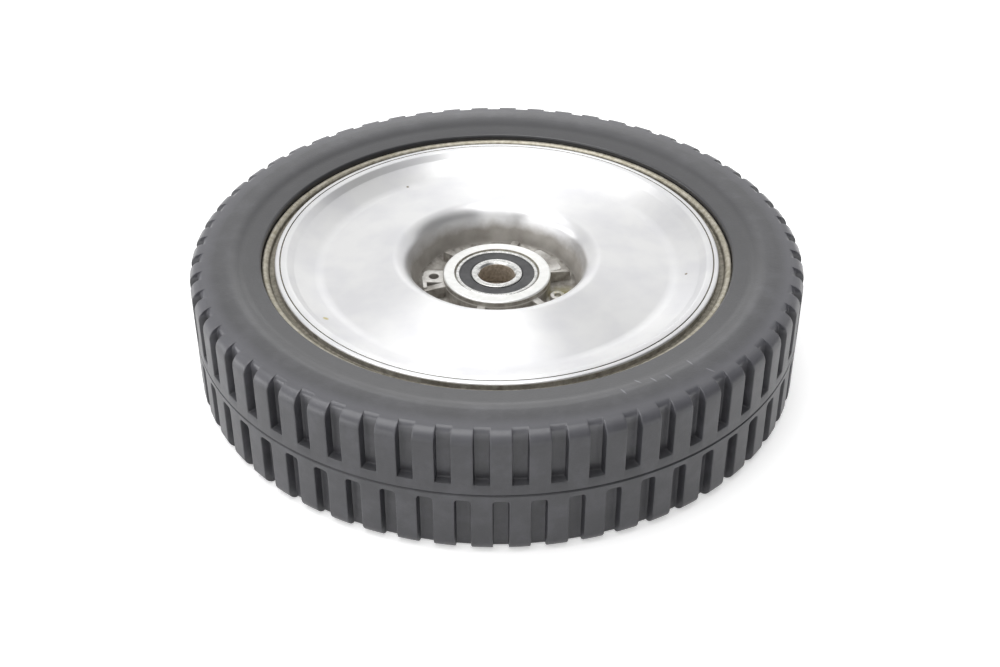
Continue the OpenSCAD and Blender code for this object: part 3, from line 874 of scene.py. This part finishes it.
    def build(self, material: bpy.types.Material) -> None:
        """Models the tyre: one pitch of the tread, copied round the wheel."""
        front, rear = self.half_section(self.front), self.half_section(self.rear)
        middle = (self.radius - self.line_depth, 0.0, 0.0)
        piece = draw_outline("tyre_rubber", [*reversed(rear), middle, *front])
        self.spin_pitch()
        self.press_groove(0.0, self.front)
        self.press_groove(-self.pitch / 2, self.rear)
        pick_all()
        bpy.ops.mesh.spin(
            steps=self.groove_count - 1,
            dupli=True,
            angle=FULL_TURN - self.pitch,
            center=(0, 0, 0),
            axis=(0, 0, 1),
        )
        pick_all()
        bpy.ops.mesh.remove_doubles(threshold=MERGE)
        bpy.ops.mesh.normals_make_consistent(inside=False)
        swing(math.radians(self.first_groove_deg) + self.pitch / 2)
        piece.data.materials.append(material)
        settle(piece, "wheel", "tyre", "tyre")


@dataclass
class Casting:
    """The die-cast centre: polished face, hub recess with its boss, rim and open rear."""

    steps: int = 288
    boss_r: float = 18.25
    boss_front: float = 10.2
    boss_rear: float = -20.0
    bearing_r: float = 14.0
    bearing_w: float = 8.0
    bearing_recess: float = 0.3
    hub_bore_r: float = 12.5
    chamfer: float = 0.45
    recess_floor: float = 3.7
    recess_r: float = 27.0
    mouth_r: float = 31.05
    mouth_round: float = 5.0
    crown: float = 18.2
    valley_r: float = 59.5
    valley: float = 14.0
    valley_round: float = 8.0
    wall: float = 4.0
    band_in_r: float = 67.7
    band_out_r: float = 70.0
    band_h: float = 1.9
    ring_out_r: float = 72.05
    lip_in_r: float = 72.4
    lip_r: float = 74.0
    lip: float = 19.3
    lip_groove: float = 0.4
    channel: float = 17.0
    flange_r: float = 78.2
    flange_w: float = 2.4
    bead: float = 18.9
    seat_r: float = 72.3
    seat_half_w: float = 15.0
    rim_in_r: float = 69.0
    gusset_degs: tuple[float, ...] = (14, 74, 134, 194, 254, 314)
    gusset_t: float = 2.8
    gusset_reach: float = 25.6
    gusset_top: float = 8.2
    gusset_fall: float = 1.0
    drilled_deg: float = 178.0
    drilled_r: float = 21.4
    drilled_w: float = 7.4
    drilled_hole_r: float = 1.65
    pad_degs: Point = (18.0, 45.0)
    pad_reach: float = 22.8
    small_deg: float = 333.0
    small_r: float = 22.8
    small_w: float = 5.0
    rib_count: int = 8
    rib_t: float = 3.0
    rib_bottom: float = 2.5
    screw_count: int = 4
    screw_r: float = 57.5
    screw_boss_r: float = 6.0
    screw_hole_r: float = 2.5
    screw_hole_deep: float = 7.8

    def back(self, r: float) -> float:
        """Height of the rear of the face wall at a distance from the axle."""
        if r > self.valley_r:
            rise = (self.lip - self.band_h - self.valley) / (self.band_in_r - self.valley_r)
        else:
            rise = (self.valley - self.crown) / (self.valley_r - self.mouth_r)
        return self.valley + rise * (r - self.valley_r) - self.wall

    def section(self) -> list[Corner]:
        """Corners along the polished face, down the rim and back along the rear."""
        front_seat = self.boss_front - self.bearing_recess - self.bearing_w
        rear_seat = self.boss_rear + self.bearing_recess + self.bearing_w
        foot_r = self.recess_r + self.wall
        neck_r = self.mouth_r + self.wall
        under = self.recess_floor - self.wall
        flange_in_r = self.flange_r - self.flange_w
        return [
            (self.bearing_r, self.boss_front - self.chamfer, 0),
            (self.bearing_r, front_seat, 0),
            (self.hub_bore_r, front_seat, 0),
            (self.hub_bore_r, rear_seat, 0),
            (self.bearing_r, rear_seat, 0),
            (self.bearing_r, self.boss_rear + self.chamfer, 0),
            (self.bearing_r + self.chamfer, self.boss_rear, 0),
            (self.boss_r, self.boss_rear, 0.8),
            (self.boss_r, under, 2),
            (foot_r, under, 3),
            (neck_r, self.crown - self.wall, 2.5),
            (self.valley_r, self.valley - self.wall, 6),
            (self.rim_in_r, self.back(self.rim_in_r), 3),
            (self.rim_in_r, -self.channel, 0.8),
            (self.flange_r, -self.channel, 0.9),
            (self.flange_r, -self.seat_half_w, 0.15),
            (self.seat_r, -self.seat_half_w, 0),
            (self.seat_r, self.seat_half_w, 0),
            (self.flange_r, self.seat_half_w, 0.15),
            (self.flange_r, self.bead, 0.7),
            (flange_in_r, self.bead, 1.6),
            (flange_in_r, self.channel, 0.3),
            (self.lip_r, self.channel, 0.3),
            (self.lip_r, self.lip, 0.6),
            (self.lip_in_r, self.lip, 0.15),
            (self.lip_in_r, self.lip - self.lip_groove, 0.1),
            (self.ring_out_r, self.lip - self.lip_groove, 0.1),
            (self.ring_out_r, self.lip, 0.15),
            (self.band_out_r, self.lip, 1),
            (self.band_in_r, self.lip - self.band_h, 2),
            (self.valley_r, self.valley, self.valley_round),
            (self.mouth_r, self.crown, self.mouth_round),
            (self.recess_r, self.recess_floor, 2.5),
            (self.boss_r, self.recess_floor, 1),
            (self.boss_r, self.boss_front, 0.6),
            (self.bearing_r + self.chamfer, self.boss_front, 0),
        ]

    def gussets(self) -> list[bpy.types.Object]:
        """The ribs round the boss, each lower at its outer end."""
        low = self.recess_floor - 0.5
        corners = [
            (self.boss_r - 0.5, low, 0),
            (self.gusset_reach, low, 0),
            (self.gusset_reach, self.gusset_top - self.gusset_fall, 0.8),
            (self.boss_r - 0.5, self.gusset_top, 0),
        ]
        rib = slab("gusset", corners, self.gusset_t, upright=True)
        soften(rib, 0.35)
        return copies_round(rib, self.gusset_degs)

    def drilled_lug(self) -> list[bpy.types.Object]:
        """The lug with a screw hole, and the web that ties it to the next gusset."""
        height = self.gusset_top - self.recess_floor + 0.3
        reach = self.drilled_r + self.drilled_w / 2
        half = self.drilled_w / 2
        corners = [
            (self.boss_r - 0.5, -half, 0), (reach, -half, 2.0),
            (reach, half, 2.0), (self.boss_r - 0.5, half, 0),
        ]
        lug = slab("drilled_lug", corners, height, upright=False)
        shift(z=self.recess_floor - 0.5)
        drill(lug, self.drilled_r, 0.0, self.recess_floor + 0.6, self.drilled_hole_r)
        soften(lug, 0.3)
        lugs = copies_round(lug, [self.drilled_deg])
        spread = self.gusset_degs[3] - self.drilled_deg
        web_w = math.radians(spread) * self.gusset_reach / 2
        corners = [
            (self.gusset_reach - 1.8, -web_w, 0), (self.gusset_reach - 0.3, -web_w, 0),
            (self.gusset_reach - 0.3, web_w, 0), (self.gusset_reach - 1.8, web_w, 0),
        ]
        web = slab("lug_web", corners, height, upright=False)
        shift(z=self.recess_floor - 0.5)
        soften(web, 0.3)
        return lugs + copies_round(web, [self.drilled_deg + spread / 2])

    def curved_pad(self) -> bpy.types.Object:
        """The curved pad beside the boss, with round ends."""
        low, high = self.recess_floor - 0.5, self.gusset_top
        inner = self.boss_r - 0.4
        corners = [(inner, low, 0), (self.pad_reach, low, 0), (self.pad_reach, high, 0), (inner, high, 0)]
        pad = draw_outline("curved_pad", corners)
        from_deg, to_deg = self.pad_degs
        end_deg = math.degrees((self.pad_reach - self.boss_r) / 2 / self.pad_reach)
        swing(math.radians(from_deg - end_deg))
        pick_all()
        bpy.ops.mesh.edge_face_add()
        spread = math.radians(to_deg - from_deg + 2 * end_deg)
        bpy.ops.mesh.spin(steps=12, angle=-spread, center=(0, 0, 0), axis=(0, 0, 1))
        pick_all()
        bpy.ops.mesh.normals_make_consistent(inside=False)
        ends = [math.radians(from_deg - end_deg), math.radians(to_deg + end_deg)]
        upright_edges = lambda p: any(
            abs(math.atan2(p.y, p.x) - a) < 0.01 for a in ends
        ) and math.hypot(p.x, p.y) > (self.pad_reach - 0.1) * MM and abs(
            p.z - (low + high) / 2 * MM
        ) < 0.1 * MM
        pick(Part.EDGES, upright_edges)
        bpy.ops.mesh.bevel(offset=1.9 * MM, segments=6, affect="EDGES")
        soften(pad, 0.35)
        return pad

    def small_lug(self) -> list[bpy.types.Object]:
        """The small round lug, with a dimple in its top."""
        bpy.ops.object.select_all(action="DESELECT")
        height = self.gusset_top - self.recess_floor + 0.2
        place = Vector((self.small_r, 0, self.recess_floor - 0.5 + height / 2)) * MM
        bpy.ops.mesh.primitive_cylinder_add(
            vertices=40, radius=self.small_w / 2 * MM, depth=height * MM, location=place
        )
        lug = bpy.context.object
        lug.name = "small_lug"
        bpy.ops.object.transform_apply(location=True, rotation=True, scale=True)
        drill(lug, self.small_r, 0.0, self.gusset_top - 1.4, self.small_w * 0.225)
        soften(lug, 0.3)
        return copies_round(lug, [self.small_deg])

    def rear_ribs(self) -> list[bpy.types.Object]:
        """The ribs behind the face, and the bosses that take the ring gear's screws."""
        foot_r = self.recess_r + self.wall - 1
        neck_r = self.mouth_r + self.wall
        outer_r = self.rim_in_r + 1
        corners = [
            (foot_r, self.rib_bottom, 0),
            (outer_r, self.rib_bottom, 0),
            (outer_r, self.back(self.rim_in_r) + 1, 0),
            (self.valley_r, self.back(self.valley_r) + 1, 0),
            (neck_r, self.back(neck_r) + 1, 0),
            (foot_r, self.rib_bottom + 1, 0),
        ]
        rib = slab("rear_rib", corners, self.rib_t, upright=True)
        soften(rib, 0.6)
        ribs = copies_round(rib, [i * 360 / self.rib_count for i in range(self.rib_count)])
        bpy.ops.object.select_all(action="DESELECT")
        top = self.back(self.screw_r) + 1
        bpy.ops.mesh.primitive_cylinder_add(
            vertices=48,
            radius=self.screw_boss_r * MM,
            depth=top * MM,
            location=Vector((self.screw_r, 0, top / 2)) * MM,
        )
        boss = bpy.context.object
        boss.name = "screw_boss"
        bpy.ops.object.transform_apply(location=True, rotation=True, scale=True)
        bpy.ops.object.mode_set(mode="EDIT")
        pick(Part.FACES, lambda p: p.z < 0.01 * MM)
        bpy.ops.mesh.inset(thickness=(self.screw_boss_r - self.screw_hole_r) * MM)
        deep = Vector((0, 0, self.screw_hole_deep * MM))
        bpy.ops.mesh.extrude_region_move(TRANSFORM_OT_translate={"value": deep})
        soften(boss, 0.4)
        step = 360 / self.screw_count
        return ribs + copies_round(boss, [(i + 0.5) * step for i in range(self.screw_count)])

    def zone(self, slot: int, test: Callable[[float, float], bool]) -> None:
        """Gives a material slot to the faces whose distance and height, in mm, pass a test."""
        pick(Part.FACES, lambda p: test(math.hypot(p.x, p.y) / MM, p.z / MM))
        bpy.context.object.active_material_index = slot
        bpy.ops.object.material_slot_assign()

    def build(
        self,
        as_cast: bpy.types.Material,
        polished: bpy.types.Material,
        machined: bpy.types.Material,
        grimy: bpy.types.Material,
        flange: bpy.types.Material,
    ) -> None:
        """Models the casting: the turned body, zone by zone, and what is cast onto it.

        Args:
            as_cast: The recess, the rear and the rim.
            polished: The face.
            machined: The boss faces and the bearing seats.
            grimy: The channel beside the lip.
            flange: The rolled edge beside the tyre.
        """
        body = draw_outline("wheel_casting_body", self.section())
        turn_outline(self.steps)
        for material in (as_cast, polished, machined, grimy, flange):
            body.data.materials.append(material)
        groove = (self.ring_out_r - 0.02, self.lip_in_r + 0.02)
        self.zone(1, lambda r, z: r > self.recess_r + 0.4 and z > self.back(r) + 2)
        self.zone(1, lambda r, z: self.recess_r + 0.3 < r < self.mouth_r + 1 and z > 5)
        self.zone(2, lambda r, z: r < self.boss_r + 0.01 and z > self.boss_front - 0.7)
        self.zone(2, lambda r, z: r < self.boss_r + 0.01 and z < self.boss_rear + 0.7)
        self.zone(2, lambda r, z: r < self.bearing_r + 0.02)
        self.zone(3, lambda r, z: r > self.lip_r + 0.02 and z > self.seat_half_w)
        self.zone(3, lambda r, z: groove[0] < r < groove[1] and z < self.lip - 0.05)
        self.zone(3, lambda r, z: r < self.boss_r - 3 and z > self.boss_front - 0.7)
        self.zone(4, lambda r, z: r > self.flange_r - self.flange_w + 0.2 and z > self.channel + 0.2)
        bpy.ops.object.mode_set(mode="OBJECT")
        extras = [*self.gussets(), *self.drilled_lug(), self.curved_pad(), *self.small_lug()]
        extras += self.rear_ribs()
        for extra in extras:
            extra.data.materials.clear()
            extra.data.materials.append(as_cast)
        join(body, extras)
        settle(body, "wheel", "polished_casting", "wheel_casting")


@dataclass
class Bearing:
    """A sealed ball bearing: its two rings and two seals are modelled about its middle."""

    name: str
    middle: float
    bore_r: float = 6.0
    outer_r: float = 14.0
    half_w: float = 4.0
    inner_ring_r: float = 8.6
    land_r: float = 11.6
    seal_r: float = 12.75
    seal_seat: float = 2.95
    groove_r: float = 12.95
    groove_top: float = 3.35
    seal_lip_r: float = 8.8
    seal_top: float = 3.88
    edge_round: float = 0.4
    bore_chamfer: float = 0.7
    ball_r: float = 2.381
    pitch_r: float = 10.0
    steps: int = 144

    def track(self, side: int) -> list[Corner]:
        """Corners of the round track, side 1 in the outer ring and -1 in the inner one."""
        edge = self.land_r if side > 0 else self.inner_ring_r
        track_r = self.ball_r * 1.04
        centre = self.pitch_r + side * (self.ball_r + 0.05 - track_r)
        reach = math.acos(abs(edge - centre) / track_r)
        points = [reach * (i / 4 - 1) for i in range(9)]
        return [
            (centre + side * track_r * math.cos(a), track_r * math.sin(a), 0) for a in points
        ]

    def outer_ring(self) -> list[Corner]:
        """Corners of the outer ring's section."""
        side = [
            (self.land_r, self.seal_seat, 0.15),
            (self.groove_r, self.seal_seat, 0),
            (self.groove_r, self.groove_top, 0),
            (self.seal_r, self.groove_top, 0),
            (self.seal_r, self.half_w, 0.15),
        ]
        return [
            (self.outer_r, self.half_w, self.edge_round),
            (self.outer_r, -self.half_w, self.edge_round),
            *((r, -z, rounding) for r, z, rounding in reversed(side)),
            *self.track(1),
            *side,
        ]

    def inner_ring(self) -> list[Corner]:
        """Corners of the inner ring's section."""
        bore_edge = self.half_w - self.bore_chamfer
        return [
            (self.bore_r, bore_edge, 0.3),
            (self.bore_r + self.bore_chamfer, self.half_w, 0.2),
            (self.inner_ring_r, self.half_w, 0.3),
            *reversed(self.track(-1)),
            (self.inner_ring_r, -self.half_w, 0.3),
            (self.bore_r + self.bore_chamfer, -self.half_w, 0.2),
            (self.bore_r, -bore_edge, 0.3),
        ]

    def seal(self, side: int) -> list[Corner]:
        """Corners of the section of a seal, on the side given by 1 or -1."""
        corners = [
            (self.seal_lip_r, self.seal_seat + 0.15, 0),
            (self.seal_lip_r + 0.8, self.seal_seat, 0),
            (self.groove_r, self.seal_seat, 0),
            (self.groove_r, self.groove_top, 0),
            (self.seal_r, self.groove_top, 0),
            (self.seal_r, self.seal_top, 0.1),
            (self.seal_r - 0.35, self.seal_top, 0.1),
            (self.seal_r - 0.55, self.seal_top - 0.15, 0.05),
            (self.seal_lip_r + 0.5, self.seal_top - 0.1, 0.1),
            (self.seal_lip_r, self.seal_top - 0.25, 0.1),
        ]
        return [(r, side * z, rounding) for r, z, rounding in corners]

    def ring(
        self,
        node: str,
        corners: list[Corner],
        body: str,
        slot: str,
        material: bpy.types.Material,
        film: Optional[bpy.types.Material] = None,
    ) -> None:
        """Turns one ring and puts it in its node's place.

        Args:
            node: The node's name, without the bearing's.
            corners: The ring's section.
            body: The body that it moves with.
            slot: Passed on to settle, which does not use it.
            material: Its finish.
            film: What covers the wall of its bore.
        """
        piece = draw_outline(f"{self.name}_{node}_turned", corners)
        turn_outline(self.steps)
        piece.data.materials.append(material)
        if film:
            piece.data.materials.append(film)
            pick(Part.FACES, lambda p: math.hypot(p.x, p.y) < (self.bore_r + 0.1) * MM)
            bpy.context.object.active_material_index = 1
            bpy.ops.object.material_slot_assign()
        shift(z=self.middle)
        settle(piece, body, slot, f"{self.name}_{node}")

    def build(
        self,
        ring_steel: bpy.types.Material,
        rubber: bpy.types.Material,
        ball_steel: bpy.types.Material,
        cage_steel: bpy.types.Material,
        film: bpy.types.Material,
    ) -> None:
        """Models the rings and seals, and dresses the balls and the cage.

        Args:
            ring_steel: The ground rings.
            rubber: The seals.
            ball_steel: The balls.
            cage_steel: The pressed cage and its rivets.
            film: The brown film in the bore.
        """
        self.ring("outer_ring", self.outer_ring(), "wheel", "bearing_steel", ring_steel)
        inner = self.inner_ring()
        self.ring("inner_ring", inner, "axle_sleeve", "bearing_steel", ring_steel, film)
        self.ring("front_seal", self.seal(1), "wheel", "seal_rubber", rubber)
        self.ring("rear_seal", self.seal(-1), "wheel", "seal_rubber", rubber)
        dress([f"{self.name}_balls"], ball_steel)
        dress([f"{self.name}_{part}" for part in ("cage_front", "cage_rear", "cage_rivets")], cage_steel)


@dataclass(frozen=True)
class Patch:
    """A soft-edged part of the surround, placed by the direction it is seen in."""

    low: tuple[float, float, float]
    high: tuple[float, float, float]
    soft_low: tuple[float, float, float]
    soft_high: tuple[float, float, float]
    level: float
    colour: str = "#ffffff"

    def lay_over(
        self, tree: bpy.types.NodeTree, axes: Sequence[bpy.types.NodeSocket], shade: Input
    ) -> bpy.types.NodeSocket:
        """Mixes the patch over what is there already.

        Args:
            tree: The world's nodes.
            axes: The three parts of the direction.
            shade: What is there already.

        Returns:
            The mixture.
        """
        share: Input = 1.0
        rows = zip(axes, self.low, self.high, self.soft_low, self.soft_high)
        for axis, low, high, soft_low, soft_high in rows:
            for edge, soft in ((low, soft_low), (high, -soft_high)):
                inside = add_node(tree, "MapRange", {0: axis, 1: edge - soft, 2: edge + soft})
                share = add_node(
                    tree, "Math", {0: share, 1: inside.outputs[0]}, operation="MULTIPLY"
                ).outputs[0]
        tint = [n * self.level for n in linear(self.colour)[:3]]
        return add_node(tree, "MixRGB", {0: share, 1: shade, 2: (*tint, 1.0)}).outputs[0]


@dataclass
class Studio:
    """Pale floor, soft light and the camera at the photograph's angle."""

    focal_px: float = 1493.9
    image_w_px: float = 1000.0
    image_h_px: float = 667.0
    centre_px: Point = (496.8, 296.7)
    elevation_deg: float = 34.27
    distance_m: float = 0.5116
    sensor_mm: float = 36.0
    floor_lift: float = 0.42
    room: float = 0.74
    surround: tuple[Patch, ...] = (
        Patch((-2, -2, -2), (2, -0.3, 2), (0.3, 0.3, 0.3), (0.3, 0.3, 0.3), 0.175),
        Patch((-0.35, -2, -0.1), (0.35, -0.45, 0.8), (0.1, 0.1, 0.1), (0.1, 0.1, 0.1), 0.8),
        Patch((-2, -2, -2), (-0.55, 0.3, 0.3), (0.12, 0.12, 0.12), (0.12, 0.12, 0.12), 3.4),
        Patch((0.5, -2, -2), (2, 0.4, 2), (0.12, 0.12, 0.12), (0.12, 0.15, 0.12), 0.2),
        Patch((-2, 0.55, -2), (2, 2, 0.38), (0.1, 0.1, 0.1), (0.1, 0.1, 0.1), 0.82),
        Patch((-0.36, 0.35, -2), (0.36, 2, 0.6), (0.06, 0.2, 0.1), (0.06, 0.1, 0.08), 0.84),
        Patch((-0.26, 0.35, -2), (0.06, 2, 0.3), (0.06, 0.2, 0.1), (0.06, 0.1, 0.06), 1.15),
        Patch((-0.11, 0.35, 0.4), (0.1, 2, 0.48), (0.06, 0.2, 0.05), (0.06, 0.1, 0.05), 2.5),
        Patch((-0.14, 0.35, 0.62), (0.05, 2, 0.82), (0.1, 0.1, 0.08), (0.1, 0.1, 0.08), 1.3),
        Patch((-0.6, -0.45, -2), (0.213, 0.35, 2), (0.12, 0.2, 0.1), (0.015, 0.03, 0.1), 3.0),
    )

    def camera(self) -> None:
        """Adds the camera, aimed at the middle of the tyre."""
        tilt = math.radians(self.elevation_deg)
        place = Vector((0, -math.cos(tilt), math.sin(tilt))) * self.distance_m
        place.z += MIDDLE
        data = bpy.data.cameras.new("camera")
        data.sensor_width = self.sensor_mm
        data.lens = self.focal_px / self.image_w_px * self.sensor_mm
        data.shift_x = (self.image_w_px / 2 - self.centre_px[0]) / self.image_w_px
        data.shift_y = (self.centre_px[1] - self.image_h_px / 2) / self.image_w_px
        camera = bpy.data.objects.new("camera", data)
        camera.location = place
        camera.rotation_euler = (math.pi / 2 - tilt, 0, 0)
        bpy.context.scene.collection.objects.link(camera)
        bpy.context.scene.camera = camera

    def floor(self) -> None:
        """Adds the pale floor, lifted to white for the camera where nothing shades it."""
        bpy.ops.object.select_all(action="DESELECT")
        bpy.ops.mesh.primitive_plane_add(size=8, location=(0, 0, 0))
        floor = bpy.context.object
        floor.name = "floor"
        made, tree, shader = new_material("floor_paper")
        shader.inputs["Base Color"].default_value = linear("#f6f6f6")
        shader.inputs["Roughness"].default_value = 0.9
        rays = add_node(tree, "LightPath").outputs
        seen = {0: rays["Is Camera Ray"], 1: rays["Is Glossy Ray"]}
        either = add_node(tree, "Math", seen, operation="MAXIMUM").outputs[0]
        lift = add_node(tree, "MapRange", {0: either, 3: 0.0, 4: self.floor_lift}).outputs[0]
        shader.inputs["Emission Color"].default_value = linear("#ffffff")
        tree.links.new(lift, shader.inputs["Emission Strength"])
        floor.data.materials.append(made)

    def world(self) -> None:
        """Adds the surround: an even room with the patches of light and dark laid over it."""
        world = bpy.data.worlds.new("studio")
        bpy.context.scene.world = world
        world.use_nodes = True
        tree = world.node_tree
        tree.nodes.clear()
        way = add_node(tree, "TexCoord").outputs["Generated"]
        axes = add_node(tree, "SeparateXYZ", {0: way}).outputs
        shade: Input = (self.room, self.room, self.room, 1.0)
        for patch in self.surround:
            shade = patch.lay_over(tree, axes, shade)
        light = add_node(tree, "Background", {0: shade, 1: 1.0})
        seen = add_node(tree, "Background", {0: linear("#ffffff"), 1: 1.0})
        camera_ray = add_node(tree, "LightPath").outputs["Is Camera Ray"]
        both = add_node(tree, "MixShader", {0: camera_ray, 1: light.outputs[0], 2: seen.outputs[0]})
        output = add_node(tree, "OutputWorld")
        tree.links.new(both.outputs[0], output.inputs[0])
        bpy.context.scene.view_settings.view_transform = "Standard"

    def build(self) -> None:
        """Builds the whole studio."""
        self.camera()
        self.floor()
        self.world()


def main() -> None:
    """Builds each part of the scene in order."""
    logging.basicConfig(level=logging.INFO)
    Studio().build()
    LOG.info("studio")
    Tyre().build(DustyRubber().material())
    LOG.info("tyre")
    as_cast = CastAluminium().material()
    machined = Steel("aluminium_machined", "#fafaf8", "#f0f0ed", 0.35, 2.0, 0.002).material()
    grimy = Steel("channel_grime", "#938e82", "#6b675c", 0.5, 1.5, metallic=0.45).material()
    flange = Steel("flange_dusty", "#bfbaad", "#9d9785", 0.42, 1.5, metallic=0.7).material()
    Casting().build(as_cast, PolishedAluminium().material(), machined, grimy, flange)
    LOG.info("casting")
    ring_steel = Steel("bearing_steel_ground", "#e6e6e4", "#c9c9c6", 0.22, 1.2, 0.002).material()
    ball_steel = Steel("ball_steel_polished", "#dadada", "#c8c8c8", 0.08).material()
    cage_steel = Steel("cage_steel_pressed", "#b0aca4", "#918d85", 0.35).material()
    film = Steel("bore_oil_film", "#cfc3b4", "#a89b8a", 0.3, 1.0, 0.01, 0.35).material()
    seal = SealRubber().material()
    for bearing in (Bearing("front_bearing", 5.9), Bearing("rear_bearing", -15.7)):
        bearing.build(ring_steel, seal, ball_steel, cage_steel, film)
    LOG.info("bearings")
    spacer = Steel("spacer_steel_turned", "#ddd2c4", "#b5a999", 0.35, 1.0, 0.004, 0.4)
    dress(["spacer_tube"], spacer.material())
    dress(["ring_gear"], Steel("gear_steel_oiled", "#77777a", "#515154", 0.4, 1.4).material())
    zinc = Steel("screw_zinc_plated", "#c2c4c6", "#a1a3a6", 0.3, 0.8).material()
    dress(["gear_screws", "gear_lock_washers"], zinc)
    LOG.info("gear and screws")


if __name__ == "__main__":
    main()
